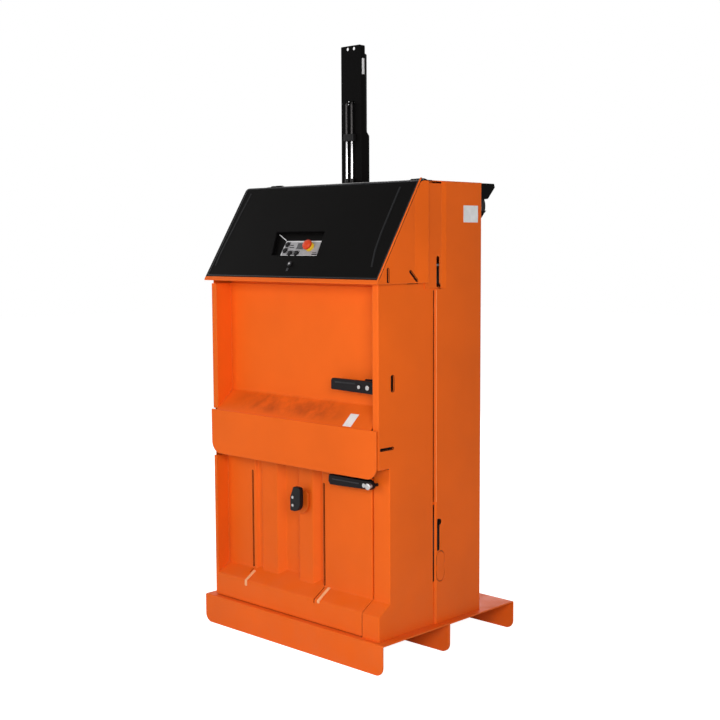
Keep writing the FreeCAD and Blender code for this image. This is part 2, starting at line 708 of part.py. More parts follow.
def door_knuckle(door, z):
    """The door's own barrel above a frame knuckle, with the bridge from its side flange."""
    x, y = hinge_x, hinge_y
    door.pad("Z", z + 35, z + 69, [disc(x, y, knuckle_r)], "knuckle%d" % z)
    door.pad("Z", z + 35, z + 69, [poly((x - knuckle_r, y), (x - knuckle_r, y - 3),
                                        (-body_half, front_y), (-body_half + 2, front_y + 3.5),
                                        (x - 2, y - 2), (x - 2, y))],
             "bridge%d" % z)
    door.cut("Z", z + 34, z + 70, [disc(x, y, pin_r + pin_fit)], "bore%d" % z)


def make_loading_door():
    door = Piece("loading_door")
    face, back = panel_y, panel_y + wall
    door.pad("X", door_left, door_right, [poly(
        (face, door_top), (face, fold_z), (flap_y + 4, flap_z - 2), (flap_y + wall, flap_z - 6),
        (flap_y + 8, flap_z - 6), (back, fold_z - 2), (back, door_top))], "panel")
    door.pad("Y", flap_y, flap_y + wall, [rect(-flap_half, flap_low, flap_half, flap_z)], "flap")
    door.round(flap_corner, lambda a, b, e: fore_aft(a, b, e) and near(a.z, flap_low), "corners")
    door.round(3.5, lambda a, b, e: crosswise(a, b, e) and near(a.z, flap_z) and near(a.y, flap_y),
               "flap_top")
    door.pad("X", door_left - wall, door_left, [poly(
        (front_y, door_top), (back, door_top), (back, fold_z - 2), (front_y, flap_z + 3))],
        "left_wall")
    door.pad("Y", front_y, front_y + wall, [rect(-body_half, flap_z + 3, door_left, door_top)],
             "left_flange")
    door.pad("X", door_right - wall, door_right, [rect(back, fold_z + 4, back + 14,
                                                        door_top - 30)], "right_return")
    door.cut("X", door_right - wall - 1, door_right + 1,
             [rect(back + 0.5, 985, back + 15, 1066)], "tongue_notch")
    door.round(6, lambda a, b, e: crosswise(a, b, e) and near(a.y, face) and near(a.z, fold_z),
               "fold")
    door.round(3, lambda a, b, e: upright(a, b, e) and near(a.y, face) and near(a.x, door_right),
               "right_edge")
    for z in HINGES[2:]:
        door_knuckle(door, z)
    door.cut("Y", face - 1, back + 1, [disc(upper_shaft_x, upper_shaft_z, 8.2)], "shaft_hole")


def plan_profile():
    """The bale door's pressed front in plan: flat panels, ribs and strap valleys."""
    face = front_y + door_recess
    deep, dip = face + valley, face + strap_dip
    k = 0.42
    front = [(bale_left, face), (-276, face), (-266, dip), (-246, dip), (-236, face),
             (-146, face), (-120, deep), (-46, deep), (-20, face), (56, face), (82, deep),
             (97, deep), (110, face), (bale_right, face)]
    shift = (0, -0.47, -0.47, 0.47, 0.47, -k, -k, k, k, -k, -k, 0.63, 0.63, 0)
    rear = [(Dim.of(x) + wall * s, y + wall) for (x, y), s in zip(front, shift)]
    return front, rear


def make_bale_door():
    face = front_y + door_recess
    front, rear = plan_profile()
    door = Piece("bale_door")
    door.pad("Z", apron_top - 4, bale_top, [poly(*(front + rear[::-1]))], "pressed_panel")
    door.round(soft, lambda a, b, e: upright(a, b, e) and bale_left.value + 2 < a.x < 300
               and (near(a.y, face) or near(a.y, face + valley) or near(a.y, face + strap_dip)),
               "soft_ribs")
    door.round(3.5, lambda a, b, e: upright(a, b, e) and near(a.y, face)
               and near(a.x, bale_right), "edge_round")
    lean = (apron_top - apron_low) / door_recess
    back = face + valley + wall
    door.pad("X", bale_left, low_post_x - apron_gap, [poly(
        (front_y, bale_low), (front_y, apron_low), (back, apron_top + lean * (valley + wall)),
        (back, apron_top + lean * (valley + wall) - 6), (front_y + wall, apron_low - 2),
        (front_y + wall, bale_low))], "apron")
    door.round(apron_bend, lambda a, b, e: crosswise(a, b, e) and near(a.y, front_y)
               and near(a.z, apron_low), "apron_bend")
    door.pad("X", bale_left - wall, bale_left, [poly(
        (front_y, bale_low), (front_y, bale_top), (face + wall, bale_top), (face + wall, apron_top),
        (front_y + 6, apron_low - 8), (front_y + 6, bale_low))], "left_wall")
    door.pad("Y", front_y, front_y + wall, [rect(-body_half, bale_low, bale_left, bale_top)],
             "left_flange")
    door.pad("X", bale_right - wall, bale_right, [rect(face + wall, apron_top + 10, face + valley,
                                                       bale_top)], "right_return")
    door.cut("Y", face - 1, face + wall + 1,
             [slot(x, apron_top + 8, x, slot_top, slot_r) for x in (slot_left, slot_right)],
             "strap_slots")
    # the slots run on over the apron's slope, the right one down to its front
    door.cut("Z", apron_low - 14, apron_top + 12,
             [rect(slot_right - slot_r, front_y - 1, slot_right + slot_r, face + 1)], "slot_foot_right")
    door.cut("Z", apron_low - 14, apron_top + 12,
             [rect(slot_left - slot_r, face - 21, slot_left + slot_r, face + 1)], "slot_foot_left")
    for z in HINGES[:2]:
        door_knuckle(door, z)
    door.cut("Y", face - 1, face + wall + 1, [disc(lever_x, lower_shaft_z, 7.2)], "shaft_hole")


# ---------------------------------------------------------------- handles
def make_upper_handle():
    z = upper_shaft_z
    grip = Piece("upper_handle")
    front = upper_grip_y
    grip.pad("Y", front, front + 13, [poly((190, z - 18), (405, z - 23), (405, z + 20),
                                           (390, z + 24), (196, z + 24), (190, z + 18))], "bar")
    grip.round(5, lambda a, b, e: fore_aft(a, b, e) and a.x < 220, "end")
    grip.round(2.5, lambda a, b, e: near(a.y, front) and near(b.y, front), "eased")
    grip.pad("Y", front + 13, panel_y + 22, [disc(upper_shaft_x, z, 8)], "shaft")
    cam = Piece("upper_latch")
    cam.pad("Y", panel_y + 10, panel_y + 16, [poly((upper_shaft_x - 13, z - 12), (426, z - 9),
                                                   (426, z + 9), (upper_shaft_x - 13, z + 12))],
            "tongue")
    cam.round(5, lambda a, b, e: fore_aft(a, b, e) and a.x > 400, "tip")
    cam.cut("Y", panel_y + 9, panel_y + 17, [disc(upper_shaft_x, z, 8)], "bore")
    plate = Piece("upper_handle_plate")
    plate.pad("Y", panel_y - 5, panel_y, [rect(326, z - 26, 414, z + 26)], "plate")
    plate.round(6, fore_aft, "corners")
    plate.cut("Y", panel_y - 6, panel_y + 1, [disc(upper_shaft_x, z, 8.2)], "bore")
    bolts = Piece("upper_handle_bolts")
    bolts.pad("Y", front - 5, front, [disc(337, z, 7), disc(upper_shaft_x, z, 9)], "heads")
    bolts.round(1.5, lambda a, b, e: near(a.y, front - 5), "crowned")


def make_lower_handle():
    z = lower_shaft_z
    face = front_y + door_recess
    front = lower_grip_y
    plate = Piece("lower_latch_plate")
    plate.pad("Y", face - 5, face, [rect(290, z - 22, 356, z + 17)], "seat")
    plate.pad("Y", face - 5, face - 1, [rect(356, z - 16, 374, z + 16)], "nose")
    plate.cut("Y", face - 6, face + 1, [disc(lever_x, z, 7.2)], "bore")
    plate.round(3, lambda a, b, e: fore_aft(a, b, e) and a.x > 370, "corners")
    grip = Piece("lower_handle")
    grip.pad("Y", front, front + 14, [poly((183, z - 8), (186, z + 18), (404, z + 18), (412, z + 9),
                                           (412, z - 6), (402, z - 13), (300, z - 17),
                                           (192, z - 20))], "bar")
    grip.round(4, lambda a, b, e: fore_aft(a, b, e), "ends")
    grip.round(2.5, lambda a, b, e: near(a.y, front) and near(b.y, front), "eased")
    grip.pad("Y", front + 14, face + 16, [disc(lever_x, z, 7)], "shaft")
    grip.pad("Y", front + 14, face - 4, [disc(402, z + 2, 6)], "catch_pin")
    caps = Piece("lower_handle_bolts")
    caps.pad("Y", front - 4, front, [disc(371, z, 8)], "bolt_head")
    caps.pad("Y", front - 5, front, [disc(402, z + 2, 9.5)], "nut")
    caps.pad("Y", front - 11, front - 5, [disc(402, z + 2, 8)], "dome")
    caps.round(4, lambda a, b, e: near(a.y, front - 11), "domed")


def make_grip_block():
    """D-shaped grip block on the bale door with its curved backing plate and two screws."""
    face = front_y + door_recess
    left, right = grip_left, grip_right
    z0, z1 = grip_low, grip_high
    reach, thick, gap = grip_reach, grip_thick, grip_gap
    bracket = Piece("grip_bracket")
    bracket.pad("Y", face - gap - 4, face - gap, [rect(left, z0 - 14, right + 4, z1 - 18)], "plate")
    bracket.round(38, lambda a, b, e: fore_aft(a, b, e) and a.x > 30 and a.z < 560, "low_curve")
    bracket.round(18, lambda a, b, e: fore_aft(a, b, e) and a.x > 30 and a.z > 560, "top_curve")
    bracket.pad("Y", face - gap, face, [rect(left + 6, z0 + 2, right - 14, z1 - 34)], "spacer")
    bracket.pad("Y", thick - reach + face, face - gap - 4, [rect(left + 2, z0 + 10, left + 6,
                                                                z1 - 22)], "web")
    block = Piece("grip_block")
    front = face - reach
    block.pad("Y", front, front + thick, [poly((left, z0), (right, z0), (right, z1),
                                               (left + 18, z1), (left, z1 - 42))], "block")
    block.round(34, lambda a, b, e: fore_aft(a, b, e) and a.x > 20 and near(a.z, z0), "d_low")
    block.round(12, lambda a, b, e: fore_aft(a, b, e) and a.x > 20 and near(a.z, z1), "d_top")
    block.round(6, lambda a, b, e: fore_aft(a, b, e) and a.x < 10, "corners")
    block.round(3, lambda a, b, e: near(a.y, front) and near(b.y, front), "eased")
    screws = Piece("grip_screws")
    screws.pad("Y", front - 2.5, front, [disc(left + 17, z0 + 23, 5.5),
                                         disc(left + 17, z0 + 54, 5.5)], "heads")


def make_strap_guides():
    """Pale strap tails that lie on the apron's slope and hang over its front edge."""
    thick, half = tail_thick, tail_half
    n_y, n_z = thick * 0.5417, thick * 0.8406
    tails = Piece("strap_tongues")
    for x, start, hang in ((-272, 0.81, 21), (146, 0.99, 9)):
        y = front_y + door_recess * start
        z = apron_low + (apron_top - apron_low) * start
        tails.pad("X", x - half, x + half, [poly(
            (y, z), (y - n_y, z + n_z), (front_y - thick, apron_low + thick * 0.547),
            (front_y - thick, apron_low - hang), (front_y, apron_low - hang),
            (front_y, apron_low))], "tail%d" % x)
    tails.round(4, lambda a, b, e: fore_aft(a, b, e) and a.z < apron_low.value - 5, "ends")


# ---------------------------------------------------------------- press
def make_press():
    beam = Piece("cross_beam")
    lo, hi = press_y - 66, press_y + 66
    beam.pad("X", wall - body_half, body_half - wall, [poly(
        (lo, beam_low), (lo, beam_top), (hi, beam_top), (hi, beam_low), (hi - 8, beam_low),
        (hi - 8, beam_top - 8), (lo + 8, beam_top - 8), (lo + 8, beam_low))], "channel")
    beam.round(6, lambda a, b, e: crosswise(a, b, e) and near(a.z, beam_top), "bends")
    beam.cut("Z", beam_top - 9, beam_top + 1, [disc(0, press_y, rod_r + 6)], "rod_hole")
    gland = Piece("cylinder_gland")
    gland.turn([poly((rod_r + rod_fit, 0), (62, 0), (62, 16), (barrel_r + 6, 16),
                     (barrel_r + 6, 34), (bore_r - 0.0, 34), (rod_r + rod_fit, 34))], "flange")
    gland.place(0, press_y, beam_top)
    barrel = Piece("cylinder_barrel")
    top = barrel_top - beam_top - 34
    barrel.turn([poly((bore_r, 0), (barrel_r, 0), (barrel_r, top - 3), (barrel_r - 3, top),
                      (0, top), (0, top - 16), (bore_r, top - 16))], "tube")
    barrel.place(0, press_y, beam_top + 34)
    bolts = Piece("cylinder_bolts")
    bolts.pad("Z", beam_top + 16, beam_top + 24, [disc(51 * math.cos(math.radians(a)),
                                                       press_y + 51 * math.sin(math.radians(a)), 7)
                                                  for a in (45, 135, 225, 315)], "heads")
    rod = Piece("press_rod")
    stub = platen_z + 62
    rod.turn([poly((0, 0), (rod_r, 0), (rod_r, 880), (bore_r - 0.3, 880), (bore_r - 0.3, 905),
                   (0, 905))], "rod")
    rod.place(0, press_y, stub)
    left, right = chamber_left + platen_gap, chamber_right - platen_gap
    platen = Piece("press_platen")
    platen.pad("Z", platen_z, platen_z + 12, [rect(left, platen_front, right, liner_y - 22)], "plate")
    platen.pad("X", left + 30, right - 30, [poly(
        (press_y - 50, platen_z + 12), (press_y - 50, platen_z + 62), (press_y + 50, platen_z + 62),
        (press_y + 50, platen_z + 12), (press_y + 42, platen_z + 12), (press_y + 42, platen_z + 54),
        (press_y - 42, platen_z + 54), (press_y - 42, platen_z + 12))], "spine")
    platen.pad("X", left + 60, left + 68, [poly((platen_front + 20, platen_z + 12),
                                                (press_y - 50, platen_z + 12),
                                                (press_y - 50, platen_z + 58))], "gusset_left")
    platen.pad("X", right - 68, right - 60, [poly((platen_front + 20, platen_z + 12),
                                                  (press_y - 50, platen_z + 12),
                                                  (press_y - 50, platen_z + 58))], "gusset_right")
    platen.cut("Z", platen_z - 1, platen_z + 6, [rect(x - 9, platen_front - 1, x + 9,
                                                      liner_y - 21) for x in STRAPS],
               "strap_grooves")
    shoes = Piece("guide_shoes")
    near_y, far_y, inner = liner_y - 22, liner_y - 1.5, liner_y - 18
    shoes.pad("Z", platen_z, platen_z + 46, [poly(
        (x - 34, near_y), (x + 34, near_y), (x + 34, far_y), (x + 24, far_y), (x + 24, inner),
        (x - 24, inner), (x - 24, far_y), (x - 34, far_y)) for x in GUIDES], "shoes")


# ---------------------------------------------------------------- mast
PIPES = (-14, 14)
PIPE_TOP = 2108


def make_mast():
    mast = Piece("mast_guard")
    w, f = mast_half, mast_front
    mast.pad("Z", roof_z, mast_top, [poly(
        (-w, f + mast_deep), (-w, f), (w, f), (w, f + mast_deep), (w - mast_wall, f + mast_deep),
        (w - mast_wall, f + mast_wall), (mast_wall - w, f + mast_wall),
        (mast_wall - w, f + mast_deep))], "channel")
    mast.cut("X", -w - 1, w + 1, [poly((f + mast_thin, mast_top + 1), (f + mast_thin, mast_step + 14),
                                       (f + mast_deep + 1, mast_step - 12),
                                       (f + mast_deep + 1, mast_top + 1))], "slim_top")
    mast.round(5, lambda a, b, e: upright(a, b, e) and near(a.y, f), "bends")
    top = mast_top
    mast.cut("Y", f - 1, f + mast_thin + 1, [
        poly((w - 7, top + 1), (w - 6, top), (w - 2, top - 2), (w, top - 6), (w + 1, top + 1)),
        poly((7 - w, top + 1), (6 - w, top), (2 - w, top - 2), (-w, top - 6), (-w - 1, top + 1))],
        "top_corners")
    mast.cut("Y", f - 1, f + mast_wall + 1, [disc(-17, mast_top - 12, 6.5), disc(17, mast_top - 12, 6.5),
                                             disc(-14, PIPE_TOP, 7), disc(14, PIPE_TOP, 7)],
             "holes")
    foot = Piece("mast_foot")
    foot.pad("Z", roof_z, roof_z + 5, [rect(-92, -2, 92, 72)], "plate")
    foot.cut("Z", roof_z - 1, roof_z + 6, [disc(0, press_y, barrel_r + 4)], "barrel_hole")
    foot.cut("Z", roof_z - 1, roof_z + 6, [rect(-w - 1, -3, w + 1, f + mast_deep + 1)],
             "channel_notch")
    pipes = Piece("pressure_pipes")
    for x in PIPES:
        path = pipes.sketch("X", x, [])
        y, low = f - 9, roof_z + 10
        line_path(path, y, low, PIPE_TOP, 9, press_y - barrel_r - 2)
        ring = pipes.sketch("Z", low, [disc(x, y, 4.5)])
        sweep = pipes.body.newObject("PartDesign::AdditivePipe", "pipe_sweep")
        sweep.Profile = ring
        sweep.Spine = (path, ["Edge1", "Edge2", "Edge3"])
        sweep.AllowMultiFace = True
    fixings = Piece("pipe_fixings")
    fixings.pad("Z", roof_z, roof_z + 26, [disc(x, f - 9, 8.5) for x in PIPES], "unions")
    fixings.pad("Z", 1958, 1986, [rect(-26, f - 17, 26, f)], "clamp")
    fixings.round(3, lambda a, b, e: near(a.y, f - 17) and near(b.y, f - 17), "eased")
    fixings.cut("Z", roof_z + 10, 1987, [disc(x, f - 9, 4.5) for x in PIPES], "bores")


def line_path(sk, y, low, top, bend, end):
    """Upright run, quarter bend and level run in the YZ plane."""
    vec = FreeCAD.Vector
    y0, z0, z1, r, y1 = [Dim.of(v).value for v in (y, low, top, bend, end)]
    sk.addGeometry([
        Part.LineSegment(vec(y0, z0, 0), vec(y0, z1 - r, 0)),
        Part.ArcOfCircle(Part.Circle(vec(y0 + r, z1 - r, 0), vec(0, 0, 1), r), math.pi / 2, math.pi),
        Part.LineSegment(vec(y0 + r, z1, 0), vec(y1, z1, 0))], False)
    sk.addConstraint([Sketcher.Constraint("Tangent", 0, 2, 1, 2), Sketcher.Constraint("Tangent", 1, 1, 2, 1),
                      Sketcher.Constraint("Vertical", 0), Sketcher.Constraint("Horizontal", 2)])
    hold(sk, [("DistanceX", (-1, 1, 0, 1), y), ("DistanceY", (-1, 1, 0, 1), low),
              ("Radius", (1,), bend), ("DistanceX", (-1, 1, 2, 2), end),
              ("DistanceY", (-1, 1, 2, 2), top)])


# ---------------------------------------------------------------- power pack
def make_power_pack():
    bracket = Piece("power_pack_bracket")
    back = rear_y
    bracket.pad("Z", roof_z - 6, roof_z - 1, [rect(-260, back, 458, back + 88)], "top")
    for x in (-260, 453):
        bracket.pad("X", x, x + 5, [poly(
            (back, roof_z - 66), (back, roof_z - 1), (back + 88, roof_z - 1),
            (back + 93, roof_z - 15), (back + 50, roof_z - 60))], "gusset%d" % x)
        bracket.pad("X", x, x + 5, [poly((back, 1649), (back + 40, 1682), (back, 1678))],
                    "strut%d" % x)
    bracket.pad("Y", back, back + 5, [rect(-260, shelf_z, 440, roof_z - 1)], "back")
    bracket.pad("X", 436, 458, [rect(back, 1649, back + 5, 1678)], "strut_root")
    bracket.pad("Z", shelf_z, shelf_z + 5, [poly(
        (-260, back), (motor_x - 17, back), (motor_x - 17, back + 112), (motor_x - 39, back + 112),
        (motor_x - 39, back + 130), (-260, back + 130))], "shelf")
    for x, r in ((motor_x - 195, 62), (motor_x - 32, 60)):
        bracket.pad("Z", shelf_z + 5, motor_z - 40, [rect(x, back + 35, x + 12, back + 105)],
                    "stand%d" % r)
        bracket.cut("X", x - 1, x + 13, [disc(back + 70, motor_z, r)], "saddle%d" % r)
    motor = Piece("drive_motor")
    motor.turn([poly((0, 0), (52, 0), (60, 8), (60, 34), (57, 36), (57, 180), (62, 182),
                     (62, 196), (24, 200), (24, 214), (0, 214))], "housing")
    motor.cut("Z", 40, 176, [poly((55, -2), (59, -2), (59, 2), (55, 2))], "fin_gap")
    pattern = motor.body.newObject("PartDesign::PolarPattern", "motor_fins")
    pattern.Originals = [motor.body.Tip]
    axis = [o for o in motor.body.Origin.OriginFeatures if o.Role == "Z_Axis"][0]
    pattern.Axis = (axis, [""])
    pattern.Angle = 360
    pattern.Occurrences = 20
    motor.body.Tip = pattern
    motor.place(motor_x, back + 70, motor_z, -90, (0, 1, 0))
    pump = Piece("hydraulic_pump")
    pump.pad("X", motor_x - 296, motor_x - 214, [rect(back + 34, motor_z - 36, back + 106,
                                                       motor_z + 36)], "block")
    pump.round(5, crosswise, "edges")
    tank = Piece("oil_tank")
    tank.pad("Z", shelf_z + 5, 1745, [rect(-240, back + 10, motor_x - 306, back + 128)], "body")
    tank.round(10, upright, "edges")
    tank.pad("Z", 1745, 1757, [disc(-60, back + 70, 18)], "filler")
    control = Piece("electric_box")
    control.pad("Y", -180, -90, [rect(-150, 1500, 150, 1660)], "box")
    control.round(4, lambda a, b, e: fore_aft(a, b, e), "edges")
    control.pad("Y", -90, -80, [rect(wall - body_half, 1520, body_half - wall, 1540),
                              rect(wall - body_half, 1620, body_half - wall, 1640)], "rails")


def make_labels():
    label = Piece("door_label")
    run, drop = flap_y + 4 - panel_y, flap_z - 2 - fold_z
    high, low = [(panel_y + run * t, fold_z + drop * t) for t in (0.42, 0.95)]
    label.pad("X", 283, 325, [poly(high, low, (low[0] - 0.34, low[1] + 0.37),
                                   (high[0] - 0.34, high[1] + 0.37))], "blank")
    side = Piece("body_labels")
    side.pad("X", body_half + proud, body_half + proud + 0.5, [rect(101, 1635, 188, 1699)], "side")
    side.pad("X", mast_half, mast_half + 0.5, [rect(mast_front + 6, 2215, mast_front + 19, 2276)],
             "mast")


# ---------------------------------------------------------------- build
def check_and_write():
    doc.recompute()
    for thing in doc.Objects:
        if "Invalid" in thing.State or "Error" in thing.State:
            raise RuntimeError("failed: %s %s" % (thing.Label, thing.State))
    for body in PIECES:
        shape = body.Shape
        if shape.isNull() or not shape.isValid() or shape.Volume < 1:
            raise RuntimeError("bad shape: " + body.Label)
    for body in PIECES:
        body.Shape.exportStep("parts/%s.step" % body.Label)
    print("pieces written:", len(PIECES))


for make in (make_base, make_side_panels, make_rear_shell, make_chamber, make_roof, make_hood,
             make_controls, make_hood_hinge, make_header, make_hinges, make_loading_door, make_bale_door,
             make_upper_handle, make_lower_handle, make_grip_block, make_strap_guides,
             make_press, make_mast, make_power_pack, make_labels):
    make()
check_and_write()
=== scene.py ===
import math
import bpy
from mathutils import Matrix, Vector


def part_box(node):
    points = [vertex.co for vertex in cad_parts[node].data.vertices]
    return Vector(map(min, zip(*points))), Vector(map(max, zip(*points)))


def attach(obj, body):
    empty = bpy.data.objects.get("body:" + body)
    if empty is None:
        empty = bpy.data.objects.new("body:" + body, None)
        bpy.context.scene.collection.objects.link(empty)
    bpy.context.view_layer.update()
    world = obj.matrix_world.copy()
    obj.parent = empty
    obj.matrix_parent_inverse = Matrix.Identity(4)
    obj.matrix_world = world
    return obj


bl_info = {
    "name": "Recycling baler",
    "version": (1, 0, 0),
    "blender": (4, 5, 0),
    "location": "3D View > Sidebar > Baler",
    "description": "Paints and details an upright recycling baler on its fixed frame",
    "category": "Object",
}

import bmesh
import bpy
from mathutils import Matrix, Vector

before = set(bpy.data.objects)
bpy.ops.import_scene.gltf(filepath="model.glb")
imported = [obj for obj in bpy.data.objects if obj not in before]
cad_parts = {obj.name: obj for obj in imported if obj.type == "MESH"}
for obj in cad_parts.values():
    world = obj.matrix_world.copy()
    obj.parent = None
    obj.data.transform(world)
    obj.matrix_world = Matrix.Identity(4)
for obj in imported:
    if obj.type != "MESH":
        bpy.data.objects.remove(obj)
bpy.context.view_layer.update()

# The finish of each node of the frame.
FINISH = {
    "orange": ("base_plate", "middle_foot", "side_panel_left", "side_panel_right", "rear_shell",
               "roof_plate", "door_header", "grip_bracket"),
    "pressed": ("bale_door",),
    "hood": ("hood_housing",),
    "door": ("loading_door",),
    "black": ("hood_cover", "control_tray", "cover_knuckles", "hinge_blocks", "cylinder_barrel",
              "cylinder_gland", "mast_guard", "mast_foot", "power_pack_bracket", "oil_tank"),
    "lever": ("upper_handle", "lower_handle", "upper_handle_plate", "lower_latch_plate",
              "door_hinge_leaves"),
    "grey": ("chamber_liner", "chamber_floor", "guide_rails", "cross_beam", "press_platen",
             "electric_box"),
    "motor": ("drive_motor",),
    "iron": ("hydraulic_pump",),
    "zinc": ("hood_hinge_pin", "door_hinge_pins", "cylinder_bolts", "upper_handle_bolts",
             "lower_handle_bolts", "grip_screws", "upper_latch"),
    "keypad": ("keypad_plate",),
    "pipe": ("pressure_pipes",),
    "chrome": ("press_rod",),
    "button": ("push_button_1", "push_button_2", "push_button_3", "push_button_4", "button_rings",
               "guide_shoes", "cover_lock", "pipe_fixings"),
    "grip": ("grip_block",),
    "lens": ("indicator_window",),
    "yellow": ("stop_collar",),
    "red": ("stop_button",),
    "strap": ("strap_tongues",),
    "label": ("door_label", "body_labels"),
}

EFFECTS = {}        # shader node groups by name
FINISHES = {}       # materials by finish

# The hood's slope: its angle in degrees, and the point where it starts above the lip.
SLOPE = 57.65
SLOPE_FOOT = Vector((0, -0.388, 1.418))

# Shallow fold of the hood's side: its axis, where it starts and ends, and its height.
HOOD_FOLD = ("Y", -0.188, -0.112, 0.011)
DUST = (0.42, 0.33, 0.26)
# Painted shade on the loading door's slope: for an axis, where it starts, is full, fades and ends.
DOOR_SHADE = (("X", -0.42, -0.20, 0.14, 0.30), ("Z", 0.893, 0.915, 0.955, 0.975))


# ---- settings
class BalerPaint(bpy.types.PropertyGroup):
    orange: bpy.props.FloatVectorProperty(
        name="Orange", description="Colour of the powder coat on doors, sides and base",
        subtype="COLOR", size=3, min=0, max=1, default=(0.86, 0.136, 0.0100))
    black: bpy.props.FloatVectorProperty(
        name="Black", description="Colour of the hood cover, mast and brackets",
        subtype="COLOR", size=3, min=0, max=1, default=(0.0034, 0.0031, 0.0030))
    gloss: bpy.props.FloatProperty(
        name="Roughness", description="Mean roughness of the powder coat",
        min=0.05, max=1, default=0.42)
    grain: bpy.props.FloatProperty(
        name="Peel size", description="Spacing of the powder coat's fine orange peel",
        unit="LENGTH", min=0.0005, max=0.02, default=0.0035)
    # The line along folds is drawn lighter: partly wear and partly a painted highlight.
    edge: bpy.props.FloatProperty(
        name="Edge radius", description="Width of the soft line of paint along folds and cut edges",
        unit="LENGTH", min=0.0002, max=0.01, default=0.0022)


class BalerStage(bpy.types.PropertyGroup):
    lens: bpy.props.FloatProperty(
        name="Focal length", description="Focal length on a 36 mm wide sensor, in millimetres",
        min=10, max=200, default=61.66)
    place: bpy.props.FloatVectorProperty(
        name="Camera place", description="Where the camera stands", subtype="XYZ", unit="LENGTH",
        size=3, default=(3.4348, -3.5518, 1.5584))
    turn: bpy.props.FloatProperty(
        name="Heading", description="Camera heading, clockwise from +Y, in degrees",
        min=-180, max=180, default=-43.88)
    tilt: bpy.props.FloatProperty(
        name="Pitch", description="Camera pitch, in degrees", min=-90, max=90, default=-5.41)
    roll: bpy.props.FloatProperty(
        name="Roll", description="Camera roll, in degrees", min=-20, max=20, default=-0.27)
    power: bpy.props.FloatProperty(
        name="Key light", description="Power of the large key light", unit="POWER",
        min=0, max=5000, default=99)


class BalerTrim(bpy.types.PropertyGroup):
    bead: bpy.props.FloatProperty(
        name="Bead height", description="How far the hood's pressed beads stand proud",
        unit="LENGTH", min=0.0002, max=0.003, default=0.0009)
    rim: bpy.props.FloatProperty(
        name="Hood rim", description="Width of the orange rim beside the black cover",
        unit="LENGTH", min=0.002, max=0.02, default=0.0083)
    # The black edging round the side slots is painted shade.
    edging: bpy.props.FloatProperty(
        name="Slot edging", description="Width of the black edging round the side slots",
        unit="LENGTH", min=0.0005, max=0.006, default=0.0022)
    screw: bpy.props.FloatProperty(
        name="Screw head", description="Radius of the pan-head screws on the rear shell",
        unit="LENGTH", min=0.002, max=0.012, default=0.0065)


# ---- shader effects
def group(name, inputs, outputs):
    """Make an effect group: its tree and the nodes that take in and put out."""
    tree = bpy.data.node_groups.new(name, "ShaderNodeTree")
    for label, kind, value in inputs:
        socket = tree.interface.new_socket(label, in_out="INPUT", socket_type="NodeSocket" + kind)
        socket.default_value = value
    for label, kind in outputs:
        tree.interface.new_socket(label, in_out="OUTPUT", socket_type="NodeSocket" + kind)
    enter = tree.nodes.new("NodeGroupInput")
    leave = tree.nodes.new("NodeGroupOutput")
    return tree, enter, leave


def node(tree, kind, **settings):
    """Add a shader node; a setting is an input's value or the node's own property."""
    made = tree.nodes.new("ShaderNode" + kind)
    for key, value in settings.items():
        if key in made.inputs:
            made.inputs[key].default_value = value
        else:
            setattr(made, key, value)
    return made


def link(source, target):
    target.id_data.links.new(source, target)


def maths(tree, operation, a, b, clamp=False):
    """Combine two values, each a number or a socket."""
    made = tree.nodes.new("ShaderNodeMath")
    made.operation, made.use_clamp = operation, clamp
    for slot, value in enumerate((a, b)):
        if isinstance(value, (int, float)):
            made.inputs[slot].default_value = value
        else:
            link(value, made.inputs[slot])
    return made.outputs[0]


def blend_colour(tree, factor, a, b):
    """Mix two colours, each a plain colour or a socket, by a factor's socket."""
    made = tree.nodes.new("ShaderNodeMix")
    made.data_type = "RGBA"
    link(factor, made.inputs[0])
    for socket, value in ((made.inputs[6], a), (made.inputs[7], b)):
        if isinstance(value, tuple):
            socket.default_value = (*value, 1)
        else:
            link(value, socket)
    return made.outputs[2]


def ramp(tree, source, low, high):
    """Clamp a value between two levels to 0..1."""
    made = node(tree, "MapRange", clamp=True)
    link(source, made.inputs["Value"])
    made.inputs["From Min"].default_value = low
    made.inputs["From Max"].default_value = high
    return made.outputs["Result"]


def noise(tree, **settings):
    """Noise over the piece's own coordinates."""
    made = node(tree, "TexNoise", **settings)
    link(node(tree, "TexCoord").outputs["Object"], made.inputs["Vector"])
    return made


def coordinate(tree, axis):
    """A point's X, Y or Z on its piece."""
    split = node(tree, "SeparateXYZ")
    link(node(tree, "TexCoord").outputs["Object"], split.inputs[0])
    return split.outputs[axis]


def span(tree, axis, start, end):
    """0..1 over a stretch of X, Y or Z."""
    return ramp(tree, coordinate(tree, axis), start, end)


def effect_edge():
    """Rounded normal and a mask along sharp edges."""
    tree, enter, leave = group("Folded edge", [("Radius", "Float", 0.002)],
                               [("Normal", "Vector"), ("Mask", "Float")])
    bevel = node(tree, "Bevel", samples=6)
    link(enter.outputs["Radius"], bevel.inputs["Radius"])
    shape = node(tree, "NewGeometry")
    dot = node(tree, "VectorMath", operation="DOT_PRODUCT")
    link(bevel.outputs[0], dot.inputs[0])
    link(shape.outputs["Normal"], dot.inputs[1])
    mask = ramp(tree, maths(tree, "SUBTRACT", 1.0, dot.outputs["Value"]), 0.02, 0.22)
    link(bevel.outputs[0], leave.inputs["Normal"])
    link(mask, leave.inputs["Mask"])
    return tree


